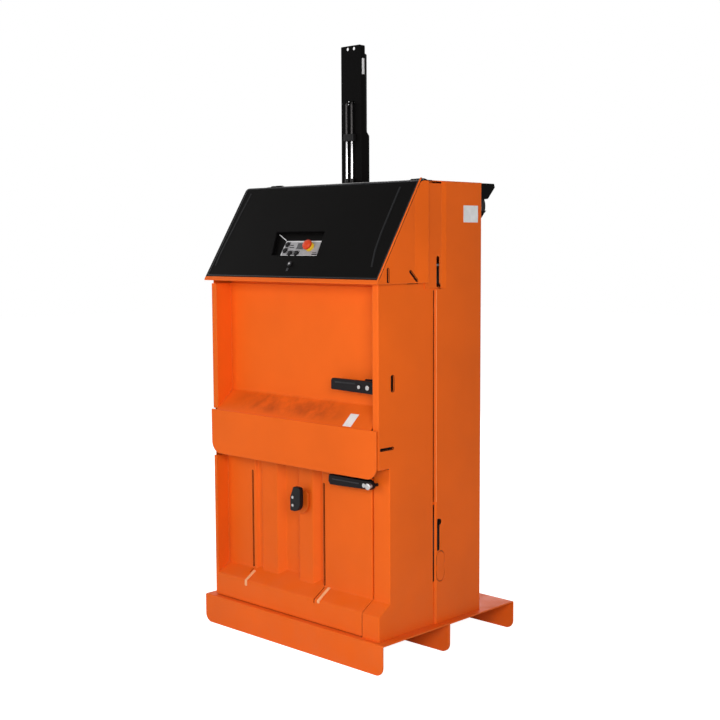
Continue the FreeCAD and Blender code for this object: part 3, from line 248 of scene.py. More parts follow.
def effect_peel():
    """Powder coat: fine dimples and slow changes in gloss and tone."""
    tree, enter, leave = group("Powder coat", [("Size", "Float", 0.0035), ("Seed", "Float", 0.0)],
                               [("Height", "Float"), ("Tone", "Float"), ("Gloss", "Float")])
    fine = noise(tree, Detail=2.0, Roughness=0.5)
    link(maths(tree, "DIVIDE", 1.0, enter.outputs["Size"]), fine.inputs["Scale"])
    slow = noise(tree, noise_dimensions="4D", Scale=2.1, Detail=3.0, Roughness=0.55)
    mid = noise(tree, noise_dimensions="4D", Scale=17.0, Detail=4.0, Roughness=0.6)
    for cloud in (slow, mid):
        link(enter.outputs["Seed"], cloud.inputs["W"])
    link(fine.outputs["Fac"], leave.inputs["Height"])
    link(slow.outputs["Fac"], leave.inputs["Tone"])
    link(mid.outputs["Fac"], leave.inputs["Gloss"])
    return tree


def effect_scuffs():
    """Thin scattered scratches and worn patches for bare and inner surfaces."""
    tree, enter, leave = group("Scuffs", [("Scale", "Float", 30.0), ("Amount", "Float", 0.5)],
                               [("Mask", "Float")])
    coords = node(tree, "TexCoord")
    warp = noise(tree, Scale=6.0, Detail=2.0)
    mixed = node(tree, "VectorMath", operation="MULTIPLY_ADD")
    link(warp.outputs["Color"], mixed.inputs[0])
    mixed.inputs[1].default_value = (0.05, 0.05, 0.05)
    link(coords.outputs["Object"], mixed.inputs[2])
    lines = node(tree, "TexVoronoi", feature="DISTANCE_TO_EDGE")
    link(mixed.outputs["Vector"], lines.inputs["Vector"])
    link(enter.outputs["Scale"], lines.inputs["Scale"])
    thin = ramp(tree, lines.outputs["Distance"], 0.03, 0.0)
    patch = noise(tree, Scale=9.0, Detail=5.0, Roughness=0.65)
    where = ramp(tree, patch.outputs["Fac"], 0.5, 0.62)
    mask = maths(tree, "MULTIPLY", maths(tree, "MULTIPLY", thin, where), enter.outputs["Amount"])
    link(mask, leave.inputs["Mask"])
    return tree


def effect_dust():
    """Pale floor dust that gathers low down and on faces that look up."""
    tree, enter, leave = group("Floor dust", [("Height", "Float", 0.25)], [("Mask", "Float")])
    share = maths(tree, "DIVIDE", coordinate(tree, "Z"), enter.outputs["Height"])
    low = maths(tree, "SUBTRACT", 1.0, share, clamp=True)
    cloud = noise(tree, Scale=14.0, Detail=6.0, Roughness=0.6)
    shape = node(tree, "NewGeometry")
    normal = node(tree, "SeparateXYZ")
    link(shape.outputs["Normal"], normal.inputs[0])
    upward = maths(tree, "MULTIPLY", ramp(tree, normal.outputs["Z"], 0.6, 1.0), 0.35)
    total = maths(tree, "ADD", maths(tree, "MULTIPLY", low, 0.8), upward, clamp=True)
    mask = maths(tree, "MULTIPLY", total, ramp(tree, cloud.outputs["Fac"], 0.38, 0.75))
    link(mask, leave.inputs["Mask"])
    return tree


def effect(tree, name, **values):
    """Place an effect group in a material with its own values."""
    made = tree.nodes.new("ShaderNodeGroup")
    made.node_tree = EFFECTS[name]
    for key, value in values.items():
        made.inputs[key].default_value = value
    return made


def material(name):
    """A new material with its tree and its Principled shader."""
    mat = bpy.data.materials.new(name)
    mat.use_nodes = True
    tree = mat.node_tree
    return mat, tree, tree.nodes["Principled BSDF"]


def press_band(mat, axis, start, end, height):
    """Tilt the paint's normal over a stretch, as a shallow pressed fold does."""
    tree, shader = mat.node_tree, mat.node_tree.nodes["Principled BSDF"]
    fine = shader.inputs["Normal"].links[0].from_node
    before = fine.inputs["Normal"].links[0].from_socket
    fold = node(tree, "Bump", Strength=1.0, Distance=1.0)
    link(maths(tree, "MULTIPLY", span(tree, axis, start, end), height), fold.inputs["Height"])
    link(before, fold.inputs["Normal"])
    link(fold.outputs[0], fine.inputs["Normal"])
    return mat


def painted_shade_patches(mat, patches, colour, amount):
    """Painted shade: dark patches in soft boxes given by their X, Y and Z stretches."""
    tree, shader = mat.node_tree, mat.node_tree.nodes["Principled BSDF"]
    tones = shader.inputs["Base Color"].links[0].from_socket
    cloud = noise(tree, Scale=11.0, Detail=5.0, Roughness=0.6)
    mask = ramp(tree, cloud.outputs["Fac"], 0.36, 0.62)
    for axis, rise, top, fall, end in patches:
        mask = maths(tree, "MULTIPLY", mask, span(tree, axis, rise, top))
        mask = maths(tree, "MULTIPLY", mask, span(tree, axis, end, fall))
    link(blend_colour(tree, maths(tree, "MULTIPLY", mask, amount), tones, colour),
         shader.inputs["Base Color"])
    return mat


def bump(tree, shader, height, normal, strength, distance):
    """Raise fine relief on a normal that already follows the folds."""
    made = node(tree, "Bump", Strength=strength, Distance=distance)
    link(height, made.inputs["Height"])
    link(normal, made.inputs["Normal"])
    link(made.outputs[0], shader.inputs["Normal"])


def shades(colour, factor):
    return tuple(min(1.0, channel * factor) for channel in colour)


def paint_material(name, colour, rough, worn, edge, size, seed, dust, shine, tone=0.10, form=0.0):
    """Powder-coated sheet: peel, slow tone changes, lighter folds and floor dust; the lighter line
    along folds is partly wear and partly a painted highlight.

    edge is the width of that lighter line along folds, and form the radius of softer folds."""
    mat, tree, shader = material(name)
    peel = effect(tree, "peel", Size=size, Seed=seed)
    folds = effect(tree, "edge", Radius=edge)
    dirt = effect(tree, "dust", Height=0.45)
    tones = blend_colour(tree, ramp(tree, peel.outputs["Tone"], 0.3, 0.7),
                         shades(colour, 1 - tone), shades(colour, 1 + tone * 0.5))
    # The lighter line along folds is partly wear and partly a painted highlight.
    rubbed_lit_mask = maths(tree, "MULTIPLY", folds.outputs["Mask"],
                 ramp(tree, peel.outputs["Gloss"], 0.35, 0.65))
    tones = blend_colour(tree, maths(tree, "MULTIPLY", rubbed_lit_mask, 0.55), tones, worn)
    tones = blend_colour(tree, maths(tree, "MULTIPLY", dirt.outputs["Mask"], dust), tones, DUST)
    link(tones, shader.inputs["Base Color"])
    rough_low = maths(tree, "ADD", rough - 0.06, maths(tree, "MULTIPLY", peel.outputs["Gloss"], 0.12))
    link(maths(tree, "ADD", rough_low, maths(tree, "MULTIPLY", dirt.outputs["Mask"], 0.25)),
         shader.inputs["Roughness"])
    shader.inputs["Specular IOR Level"].default_value = shine
    shape = effect(tree, "edge", Radius=form) if form else folds
    bump(tree, shader, peel.outputs["Height"], shape.outputs["Normal"], 0.12, 0.0004)
    return mat


def orange_paint(name, paint, form=0.0):
    """The baler's orange, with folds as soft as form."""
    # The lighter orange along folds is partly wear and partly a painted highlight.
    return paint_material(name, tuple(paint.orange), paint.gloss, worn=(0.98, 0.34, 0.11),
                          edge=paint.edge, size=paint.grain, seed=1.0, dust=0.07, shine=0.10,
                          form=form)


def metal_material(name, colour, rough, seed, scratch, stretch=(1, 1, 1)):
    """Bare or plated metal with a drawn grain and fine scratches."""
    mat, tree, shader = material(name)
    drawn = node(tree, "Mapping", Scale=stretch)
    link(node(tree, "TexCoord").outputs["Object"], drawn.inputs["Vector"])
    grain = node(tree, "TexNoise", noise_dimensions="4D", Scale=420.0, Detail=3.0, W=seed)
    link(drawn.outputs[0], grain.inputs["Vector"])
    folds = effect(tree, "edge", Radius=0.0006)
    marks = effect(tree, "scuffs", Scale=90.0, Amount=scratch)
    tones = blend_colour(tree, ramp(tree, grain.outputs["Fac"], 0.3, 0.7), shades(colour, 0.86),
                         colour)
    tones = blend_colour(tree, marks.outputs["Mask"], tones, shades(colour, 0.55))
    link(tones, shader.inputs["Base Color"])
    shader.inputs["Metallic"].default_value = 1.0
    link(maths(tree, "ADD", rough - 0.05, maths(tree, "MULTIPLY", grain.outputs["Fac"], 0.16)),
         shader.inputs["Roughness"])
    bump(tree, shader, grain.outputs["Fac"], folds.outputs["Normal"], 0.06, 0.0002)
    return mat


def plastic_material(name, colour, rough, seed, grain, coat, shine):
    """Moulded plastic with a fine spark-eroded grain and handled edges."""
    mat, tree, shader = material(name)
    fine = noise(tree, noise_dimensions="4D", Scale=grain, Detail=2.0, W=seed)
    slow = noise(tree, noise_dimensions="4D", Scale=40.0, Detail=3.0, W=seed)
    folds = effect(tree, "edge", Radius=0.0007)
    tones = blend_colour(tree, ramp(tree, slow.outputs["Fac"], 0.3, 0.7), shades(colour, 0.9),
                         shades(colour, 1.05))
    tones = blend_colour(tree, maths(tree, "MULTIPLY", folds.outputs["Mask"], 0.25), tones,
                         tuple(min(1, channel * 1.3 + 0.01) for channel in colour))
    link(tones, shader.inputs["Base Color"])
    link(maths(tree, "ADD", rough - 0.05, maths(tree, "MULTIPLY", slow.outputs["Fac"], 0.12)),
         shader.inputs["Roughness"])
    shader.inputs["Coat Weight"].default_value = coat
    shader.inputs["Specular IOR Level"].default_value = shine
    bump(tree, shader, fine.outputs["Fac"], folds.outputs["Normal"], 0.1, 0.0002)
    return mat


def pipe_material(name, bright, dark_top, low, high):
    """Plated pipe, bright at the foot and darker higher up."""
    mat = metal_material(name, bright, rough=0.2, seed=11.0, scratch=0.2, stretch=(1, 1, 0.06))
    tree, shader = mat.node_tree, mat.node_tree.nodes["Principled BSDF"]
    tones = shader.inputs["Base Color"].links[0].from_socket
    cloud = noise(tree, Scale=60.0, Detail=3.0)
    ragged = maths(tree, "MULTIPLY", maths(tree, "SUBTRACT", cloud.outputs["Fac"], 0.5), 0.03)
    height = maths(tree, "ADD", coordinate(tree, "Z"), ragged)
    link(blend_colour(tree, ramp(tree, height, low, high), tones, dark_top),
         shader.inputs["Base Color"])
    return mat


# Other paints: name, colour, roughness, colour and width of the lighter line along folds (partly
# wear, partly a painted highlight), spacing of the peel, seed, dust, shine and tone.
PAINTS = {
    # The lip's orange is lighter than the body's: a painted highlight on the seam's front edge.
    "lip": ("Worn orange lip", (0.95, 0.27, 0.075), 0.36, (0.98, 0.40, 0.16), 0.0008, 0.0035, 2.0,
            0.02, 0.2, 0.1),
    # The bead black is lighter than the plain black: a painted highlight on beads, rims and the
    # lock's tag.
    "bead": ("Black bead paint", (0.03, 0.03, 0.034), 0.36, (0.13, 0.13, 0.15), 0.0006, 0.0022,
             4.0, 0.01, 0.12, 0.4),
    # The crease black is lighter than the cover's black: a painted highlight along each crease.
    "crease": ("Black crease paint", (0.011, 0.011, 0.012), 0.5, (0.035, 0.035, 0.039), 0.0010,
               0.0022, 6.0, 0.01, 0.06, 0.3),
    "lever": ("Black lever paint", (0.0090, 0.0073, 0.0085), 0.4, (0.1, 0.1, 0.105), 0.0014, 0.002,
              5.0, 0.03, 0.08, 0.3),
    "grey": ("Grey chamber paint", (0.16, 0.165, 0.17), 0.5, (0.42, 0.42, 0.42), 0.002, 0.004, 7.0,
             0.3, 0.16, 0.1),
    "motor": ("Motor enamel", (0.27, 0.29, 0.31), 0.38, (0.45, 0.46, 0.47), 0.001, 0.003, 9.0,
              0.08, 0.16, 0.1),
}

# Metals: name, colour, roughness, seed and share of scratches.
METALS = {
    "iron": ("Pump casting", (0.2, 0.2, 0.21), 0.55, 2.0, 0.4),
    "zinc": ("Zinc plate", (0.42, 0.41, 0.41), 0.34, 4.0, 0.4),
    "chrome": ("Hard chrome", (0.80, 0.80, 0.81), 0.14, 6.0, 0.15),
}

# Plastics: name, colour, roughness, seed, how fine the grain is, coat and shine.
PLASTICS = {
    "keypad": ("Keypad panel", (0.36, 0.35, 0.36), 0.45, 8.0, 500, 0, 0.4),
    "print": ("Keypad dark field", (0.02, 0.019, 0.02), 0.4, 9.0, 500, 0, 0.1),
    "border": ("Keypad white border", (0.85, 0.84, 0.85), 0.4, 10.0, 500, 0, 0.4),
    "button": ("Black moulding", (0.010, 0.0095, 0.010), 0.36, 1.0, 900, 0, 0.12),
    "grip": ("Grip plastic", (0.010, 0.0095, 0.0105), 0.42, 2.0, 900, 0, 0.1),
    "lens": ("Smoked window", (0.03, 0.03, 0.035), 0.12, 3.0, 900, 0.4, 0.4),
    "yellow": ("Yellow collar", (0.90, 0.56, 0.015), 0.4, 4.0, 900, 0, 0.4),
    "red": ("Red stop button", (0.70, 0.055, 0.012), 0.4, 5.0, 900, 0, 0.2),
    "strap": ("Strap tongue", (0.94, 0.47, 0.22), 0.5, 6.0, 300, 0, 0.4),
    "label": ("Blank label", (0.84, 0.84, 0.84), 0.45, 7.0, 900, 0, 0.2),
}


def make_finishes(paint):
    """Make the orange and black paints from the panel's settings, and the rest from the tables."""
    FINISHES.update(
        orange=orange_paint("Orange powder coat", paint),
        hood=press_band(orange_paint("Orange hood paint", paint), *HOOD_FOLD),
        # The loading door's slope gets painted shade: a darker orange over it.
        door=painted_shade_patches(orange_paint("Orange door paint", paint), DOOR_SHADE, (0.36, 0.052, 0.006), 0.6),
        pressed=orange_paint("Orange pressed panel", paint, form=0.005),
        # The lighter black along folds is partly wear and partly a painted highlight.
        black=paint_material("Black powder coat", tuple(paint.black), 0.42, (0.05, 0.05, 0.058),
                             0.0013, 0.0022, 3.0, 0.01, 0.02, 0.25),
        pipe=pipe_material("Plated pipe", (0.84, 0.83, 0.84), dark_top=(0.03, 0.028, 0.028), low=1.86,
                           high=1.985))
    for make, table in ((paint_material, PAINTS), (metal_material, METALS),
                        (plastic_material, PLASTICS)):
        for finish, row in table.items():
            FINISHES[finish] = make(*row)


class BALER_OT_finishes(bpy.types.Operator):
    """Make every paint, metal and plastic and put them on the frame's own pieces"""
    bl_idname = "baler.finishes"
    bl_label = "Paint the frame"

    def execute(self, context):
        EFFECTS.update(edge=effect_edge(), peel=effect_peel(), scuffs=effect_scuffs(),
                       dust=effect_dust())
        make_finishes(context.scene.baler_paint)
        for finish, nodes in FINISH.items():
            for name in nodes:
                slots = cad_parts[name].data.materials
                slots.clear()
                slots.append(FINISHES[finish])
        return {"FINISHED"}


# ---- modelling by hand
SQUARE_ON = 0.9     # share of a face's normal that lies along the axis it looks along
SMOOTH_UNDER = math.radians(40)


def alone():
    """Leave edit mode with nothing selected."""
    if bpy.context.object and bpy.context.object.mode != "OBJECT":
        bpy.ops.object.mode_set(mode="OBJECT")
    bpy.ops.object.select_all(action="DESELECT")


def only(thing):
    """Leave edit mode with one piece selected and active."""
    alone()
    thing.select_set(True)
    bpy.context.view_layer.objects.active = thing


def apply_place(thing):
    only(thing)
    bpy.ops.object.transform_apply(location=True, rotation=True, scale=True)
    return thing


def place(thing, turn=(0, 0, 0), spot=(0, 0, 0)):
    """Turn a piece about the origin by angles in degrees, and carry it to its spot."""
    thing.rotation_euler = [math.radians(angle) for angle in turn]
    thing.location = spot
    return apply_place(thing)


def block(name, low, high):
    """Box between two corners."""
    alone()
    low, high = Vector(low), Vector(high)
    bpy.ops.mesh.primitive_cube_add(size=1, location=(low + high) / 2, scale=high - low)
    bpy.context.object.name = name
    return apply_place(bpy.context.object)


def drum(name, centre, radius, length, axis=(0, 0, 1), sides=48):
    """Round or many-sided bar about an axis."""
    alone()
    turn = Vector((0, 0, 1)).rotation_difference(Vector(axis)).to_euler()
    bpy.ops.mesh.primitive_cylinder_add(vertices=sides, radius=radius, depth=length,
                                        location=centre, rotation=turn)
    bpy.context.object.name = name
    return apply_place(bpy.context.object)


def pick(thing, test):
    """Select, in edit mode, only the faces that pass a test of centre and normal."""
    if thing.mode != "EDIT":
        only(thing)
        bpy.ops.object.mode_set(mode="EDIT")
    bpy.ops.mesh.select_mode(type="FACE")
    bpy.ops.mesh.select_all(action="DESELECT")
    data = bmesh.from_edit_mesh(thing.data)
    for face in data.faces:
        if test(face.calc_center_median(), face.normal):
            face.select_set(True)
    bmesh.update_edit_mesh(thing.data)


def faces(thing, side):
    """Select, in edit mode, the faces that look to a side such as "+z" or "-y"."""
    sign = 1 if side[0] == "+" else -1
    pick(thing, lambda centre, normal: sign * getattr(normal, side[1]) > SQUARE_ON)


def inset(border, rise=0.0):
    """Step the selected faces in by a border and out by a rise."""
    bpy.ops.mesh.inset(thickness=border, depth=rise)


def step_in(thing, side, border, rise=0.0):
    faces(thing, side)
    inset(border, rise)


def pull(x=0.0, y=0.0, z=0.0):
    """Extrude the selected faces by a step."""
    bpy.ops.mesh.extrude_region_move(TRANSFORM_OT_translate={"value": (x, y, z)})


def soften(thing, width, segments=3, angle=30):
    """Round the sharp edges and shade the rest smooth."""
    only(thing)
    rounding = thing.modifiers.new("Rounded edges", "BEVEL")
    rounding.width, rounding.segments = width, segments
    rounding.limit_method, rounding.angle_limit = "ANGLE", math.radians(angle)
    rounding.harden_normals = False
    bpy.ops.object.modifier_apply(modifier=rounding.name)
    bpy.ops.object.shade_smooth_by_angle(angle=SMOOTH_UNDER)
    return thing


def flat_ring(name, size, border, thick, corner=0.0, centre=(0, 0)):
    """Thin ring that faces +Z, with rounded corners where corner isn't 0."""
    alone()
    bpy.ops.mesh.primitive_plane_add(size=1, location=(*centre, 0))
    ring = bpy.context.object
    ring.name, ring.scale = name, (*size, 1)
    apply_place(ring)
    pick(ring, lambda centre, normal: True)
    if corner:
        bpy.ops.mesh.bevel(offset=corner, segments=8, affect="VERTICES")
        bpy.ops.mesh.select_all(action="SELECT")
    inset(border)
    bpy.ops.mesh.delete(type="FACE")
    only(ring)
    depth = ring.modifiers.new("Thickness", "SOLIDIFY")
    depth.thickness, depth.offset = thick, 1.0
    bpy.ops.object.modifier_apply(modifier=depth.name)
    return ring


def lean(thing, x=0.0, along=0.0, off=0.0):
    """Lay a piece that was made flat about the origin on the hood's slope."""
    angle = math.radians(SLOPE)
    up = Vector((0, math.cos(angle), math.sin(angle)))
    out = Vector((0, -math.sin(angle), math.cos(angle)))
    return place(thing, (SLOPE, 0, 0), SLOPE_FOOT + Vector((x, 0, 0)) + up * along + out * off)


def join(parts):
    """Join pieces into the first of them."""
    only(parts[0])
    for part in parts[1:]:
        part.select_set(True)
    bpy.ops.object.join()
    return parts[0]


def copies(thing, steps):
    """Copy a finished piece, with its own mesh, by each step and join all."""
    made = [thing]
    for step in steps:
        other = thing.copy()
        other.data = thing.data.copy()
        bpy.context.scene.collection.objects.link(other)
        other.data.transform(Matrix.Translation(Vector(step)))
        made.append(other)
    return join(made)


def settle(thing, finish, body):
    """Give a piece its finish and the body that it moves with."""
    alone()
    thing.data.materials.clear()
    thing.data.materials.append(FINISHES[finish])
    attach(thing, body)


# ---- hood cover
# Pressed creases from the top down, as places on the slope: x, and the way up it. Their black is
# lighter than the cover's: a painted highlight.
CREASES = {
    "cover_crease_right": ((0.391, 0.408), (0.392, 0.312), (0.394, 0.206), (0.401, 0.133),
                           (0.418, 0.066)),
    "cover_crease_left": ((-0.432, 0.408), (-0.440, 0.300), (-0.446, 0.190), (-0.450, 0.120),
                          (-0.446, 0.063)),
}
CREASE_HALF = 0.0045    # half of a crease's width
CREASE_END = 0.004      # straight stretch at a crease's top


def hood_edge_strip(trim):
    """Orange rim beside the cover; its top end laps down over the fold."""
    foot, top, thick, lap = 0.013, 0.440, 0.0011, 0.006
    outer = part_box("hood_cover")[1].x + 0.0005
    rim = block("hood_edge_strip", (outer - trim.rim, foot, 0), (outer, top, thick))
    step_in(rim, "+z", border=0.0006, rise=0.0002)
    faces(rim, "+y")
    pull(y=lap, z=-thick)
    soften(rim, 0.0004, 2)
    settle(lean(rim), "orange", "cover")


def cover_edge_bead(trim):
    """Pressed bead round the cover's flat face, in a lighter black that is a painted highlight."""
    bead = flat_ring("cover_edge_bead", size=(0.9365, 0.4150), border=0.0035,
                     thick=trim.bead * 1.2, centre=(0, 0.2245))
    soften(bead, trim.bead * 0.6)
    settle(lean(bead), "bead", "cover")


def cover_crease(name, path, trim):
    """Shallow crease, drawn out of its top end from point to point, in a lighter black that is a
    painted highlight.
    """
    x, top = path[0]
    low = top - CREASE_END
    crease = block(name, (x - CREASE_HALF, low, 0), (x + CREASE_HALF, top, trim.bead * 0.8))
    for (here, _), (there, end) in zip(path, path[1:]):
        pick(crease, lambda c, n: n.y < -SQUARE_ON and abs(c.y - low) < 0.0005)
        pull(there - here, end - low)
        low = end
    step_in(crease, "+z", border=0.0030, rise=0.0003)
    soften(crease, 0.0006, angle=12)
    settle(lean(crease), "crease", "cover")


class BALER_OT_hood_trim(bpy.types.Operator):
    """Orange rim, pressed bead and creases on the hood's black cover"""
    bl_idname = "baler.hood_trim"
    bl_label = "Trim the hood"

    def execute(self, context):
        trim = context.scene.baler_trim
        hood_edge_strip(trim)
        cover_edge_bead(trim)
        for name, path in CREASES.items():
            cover_crease(name, path, trim)
        return {"FINISHED"}


# ---- controls
KEYPAD_DEEP = 0.014     # the keypad's face under the cover
FIELD_THICK = 0.0003
# Places on the slope: x, and the way up it.
BUTTON_SPOTS = ((-0.092, 0.170), (-0.092, 0.143), (-0.058, 0.131), (-0.022, 0.131))
LOCK_SPOT = (-0.013, 0.074)
# Plain bars between the buttons: left, low, right and high edge.
KEYPAD_BARS = (
    (-0.0750, 0.1205, -0.0732, 0.1420), (-0.0410, 0.1205, -0.0375, 0.1420),
    (-0.0745, 0.1645, -0.0560, 0.1685), (-0.0745, 0.1545, -0.0480, 0.1585),
    (-0.0370, 0.1490, 0.0050, 0.1510), (-0.0370, 0.1752, 0.0050, 0.1772),
    (0.0640, 0.1240, 0.0920, 0.1290), (0.0640, 0.1330, 0.0860, 0.1355),
)


def keypad_border():
    """Pale line round the keypad."""
    border = flat_ring("keypad_border", size=(0.203, 0.066), border=0.0035, thick=0.0004,
                       centre=(-0.0035, 0.152))
    soften(border, 0.00015, 1)
    settle(lean(border, off=-KEYPAD_DEEP), "border", "cover")


def keypad_fields():
    """Dark frame round each push button, and the plain bars between them."""
    fields = []
    for spot in BUTTON_SPOTS:
        ring = flat_ring("keypad_fields", size=(0.028, 0.0238), border=0.0024, thick=FIELD_THICK,
                         corner=0.003, centre=spot)
        fields.append(soften(ring, FIELD_THICK * 0.3, 2))
    for left, low, right, high in KEYPAD_BARS:
        bar = block("keypad_fields", (left, low, 0), (right, high, FIELD_THICK))
        step_in(bar, "+z", border=0.0004)
        fields.append(soften(bar, 0.0001, 1))
    settle(lean(join(fields), off=-KEYPAD_DEEP), "print", "cover")


def tray_corner_highlight():
    """Bright slanting fold at the tray's upper left corner, near-white: a painted highlight."""
    long, wide, thick = 0.060, 0.0032, 0.0012
    bead = block("tray_corner_highlight", (-long / 2, -wide / 2, 0), (long / 2, wide / 2, thick))
    step_in(bead, "+z", border=0.0008, rise=0.0003)
    place(soften(bead, 0.0005, 2), turn=(0, 0, -27))
    settle(lean(bead, -0.1395, 0.2035, -0.0162), "border", "cover")


def lock_parts():
    """Ring and key face that turn with the lock, and the small tag on the cover below it; ring and
    tag are a lighter black, a painted highlight.
    """
    ring = drum("lock_ring", (0, 0, 0.0052), radius=0.0088, length=0.0014)
    step_in(ring, "+z", border=0.0030)
    pull(z=-0.0008)
    settle(lean(soften(ring, 0.0004), *LOCK_SPOT), "bead", "lock")
    face = drum("lock_key_face", (0, 0, 0.0049), radius=0.0042, length=0.0018, sides=32)
    step_in(face, "+z", border=0.0010, rise=0.0003)
    settle(lean(soften(face, 0.0003, 2), *LOCK_SPOT), "zinc", "lock")
    tag = block("lock_tag", (-0.0055, -0.031, 0), (0.0055, -0.017, 0.0014))
    step_in(tag, "+z", border=0.0012, rise=0.0004)
    settle(lean(soften(tag, 0.0005), *LOCK_SPOT), "bead", "cover")


class BALER_OT_controls(bpy.types.Operator):
    """Border, dark fields and painted highlight on the corner of the control tray, and the lock's
    ring and tag in a lighter black that is a painted highlight
    """
    bl_idname = "baler.controls"
    bl_label = "Detail the controls"

    def execute(self, context):
        keypad_border()
        keypad_fields()
        tray_corner_highlight()
        lock_parts()
        return {"FINISHED"}


# ---- power pack
def middle(box):
    return (box[0] + box[1]) / 2


def motor_fan_grille(motor):
    """Round grille with sunk rings on the motor's end."""
    centre = middle(motor)
    grille = drum("motor_fan_grille", (motor[1].x + 0.0008, centre.y, centre.z), radius=0.050,
                  length=0.0024, axis=(1, 0, 0), sides=64)
    faces(grille, "+x")
    for sink in (-0.0014, 0.0014, -0.0014, 0.0014):
        inset(border=0.0046)
        pull(sink)
    inset(border=0.0046)
    settle(soften(grille, 0.0003, 2), "button", "frame")


def motor_terminal_box(motor):
    """Terminal box with a raised lid behind the motor, and the lid's four screws."""
    left, right, wall, out, half = 0.246, 0.330, 0.335, 0.366, 0.034
    foot, head = middle(motor).z - half, middle(motor).z + half
    box = block("motor_terminal_box", (left, wall, foot), (right, out, head))
    step_in(box, "+y", border=0.0015, rise=-0.0012)
    pull(y=0.006)
    inset(border=0.004, rise=0.001)
    settle(soften(box, 0.0014), "motor", "frame")

    margin, proud = 0.0075, 0.0075
    screw = drum("terminal_box_screws", (left + margin, out + proud, foot + margin),
                 radius=0.0034, length=0.0022, axis=(0, 1, 0), sides=24)
    step_in(screw, "+y", border=0.0018)
    pull(y=-0.0012)
    wide, high = right - left - 2 * margin, head - foot - 2 * margin
    copies(soften(screw, 0.0005, 2), ((wide, 0, 0), (0, 0, high), (wide, 0, high)))
    settle(screw, "zinc", "frame")


def tank_filler_cap(tank, axis_y):
    """Knurled cap on the tank's top."""
    height, sides = 0.015, 40
    cap = drum("tank_filler_cap", (-0.060, axis_y, tank[1].z + height / 2), radius=0.0215,
               length=height, sides=sides)
    side = 2 * math.pi / sides
    pick(cap, lambda c, n: abs(n.z) < 0.2 and round(math.atan2(n.y, n.x) / side) % 2 == 0)
    inset(border=0.0008, rise=-0.0009)
    step_in(cap, "+z", border=0.005, rise=0.0012)
    settle(soften(cap, 0.0006, 2), "button", "frame")


def tank_sight_glass(tank):
    glass = drum("tank_sight_glass", (0.040, tank[1].y + 0.0015, 1.640), radius=0.014,
                 length=0.005, axis=(0, 1, 0), sides=40)
    step_in(glass, "+y", border=0.004)
    pull(y=-0.002)
    settle(soften(glass, 0.0008), "lens", "frame")


def pump_pipes(foot, step):
    """Two pipes that rise from the pump and bend forward into the shell."""
    rise, bend, end = 0.016, 0.017, 0.216
    pipe = drum("pump_pipes", foot + Vector((0, 0, rise / 2)), radius=0.0058, length=rise, sides=28)
    faces(pipe, "+z")
    bpy.ops.mesh.spin(steps=10, angle=math.radians(90), axis=(1, 0, 0),
                      center=foot + Vector((0, -bend, rise)))
    reach = [v.co.y for v in bmesh.from_edit_mesh(pipe.data).verts]
    low = min(reach)
    if low < foot.y - 2 * bend or max(reach) > foot.y + bend / 2:
        raise RuntimeError("the pump pipe's elbow turned the wrong way")
    pick(pipe, lambda c, n: n.y < -0.95 and c.y < low + 0.001)
    pull(y=end - low)
    bpy.ops.mesh.select_all(action="SELECT")
    bpy.ops.mesh.remove_doubles(threshold=0.00001)
    bpy.ops.mesh.normals_make_consistent(inside=False)
    only(pipe)
    bpy.ops.object.shade_smooth_by_angle(angle=SMOOTH_UNDER)
    settle(copies(pipe, (step,)), "chrome", "frame")


def pump_pipe_nuts(foot, step):
    height = 0.011
    nut = drum("pump_pipe_nuts", foot + Vector((0, 0, height / 2)), radius=0.0105, length=height,
               sides=6)
    step_in(nut, "+z", border=0.002, rise=0.0015)
    settle(copies(soften(nut, 0.0006, 2), (step,)), "zinc", "frame")


class BALER_OT_power_pack(bpy.types.Operator):
    """Fan grille, terminal box, filler cap, sight glass and pipes of the power pack"""
    bl_idname = "baler.power_pack"
    bl_label = "Detail the power pack"

    def execute(self, context):
        motor, pump, tank = (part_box(name) for name in ("drive_motor", "hydraulic_pump", "oil_tank"))
        axis_y = middle(motor).y
        foot, step = Vector((0.116, axis_y, pump[1].z)), (0.038, 0, 0)
        motor_fan_grille(motor)
        motor_terminal_box(motor)
        tank_filler_cap(tank, axis_y)
        tank_sight_glass(tank)
        pump_pipes(foot, step)
        pump_pipe_nuts(foot, step)
        return {"FINISHED"}


# ---- fasteners
SHELL_SCREW_X = 0.440               # left and right of the middle
SHELL_SCREW_Z = (0.190, 0.37, 4)    # lowest row, spacing and number of rows
BRACKET_BOLT_X = (-0.235, 0.135, 0.420)
BRACKET_BOLT_Z = 1.600


def shell_screws(size):
    """Pan-head screws in two columns down the back."""
    first, spacing, rows = SHELL_SCREW_Z
    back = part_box("rear_shell")[1].y
    screw = drum("shell_screws", (-SHELL_SCREW_X, back + 0.0013, first), size, length=0.0028,
                 axis=(0, 1, 0), sides=32)
    step_in(screw, "+y", border=size * 0.3, rise=0.0009)
    inset(border=size * 0.3)
    pull(y=-0.0016)
    soften(screw, 0.0006)
    steps = [(x, 0, spacing * row) for x in (0, 2 * SHELL_SCREW_X) for row in range(rows)]
    settle(copies(screw, steps[1:]), "zinc", "frame")


def bracket_bolts():
    """Hexagon heads that hold the power pack's shelf."""
    length = 0.005
    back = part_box("rear_shell")[1].y + length
    first = BRACKET_BOLT_X[0]
    bolt = drum("bracket_bolts", (first, back + length / 2, BRACKET_BOLT_Z), radius=0.0085,
                length=length, axis=(0, 1, 0), sides=6)
    step_in(bolt, "+y", border=0.0014, rise=0.0008)
    soften(bolt, 0.0006, 2)
    settle(copies(bolt, [(x - first, 0, 0) for x in BRACKET_BOLT_X[1:]]), "zinc", "frame")


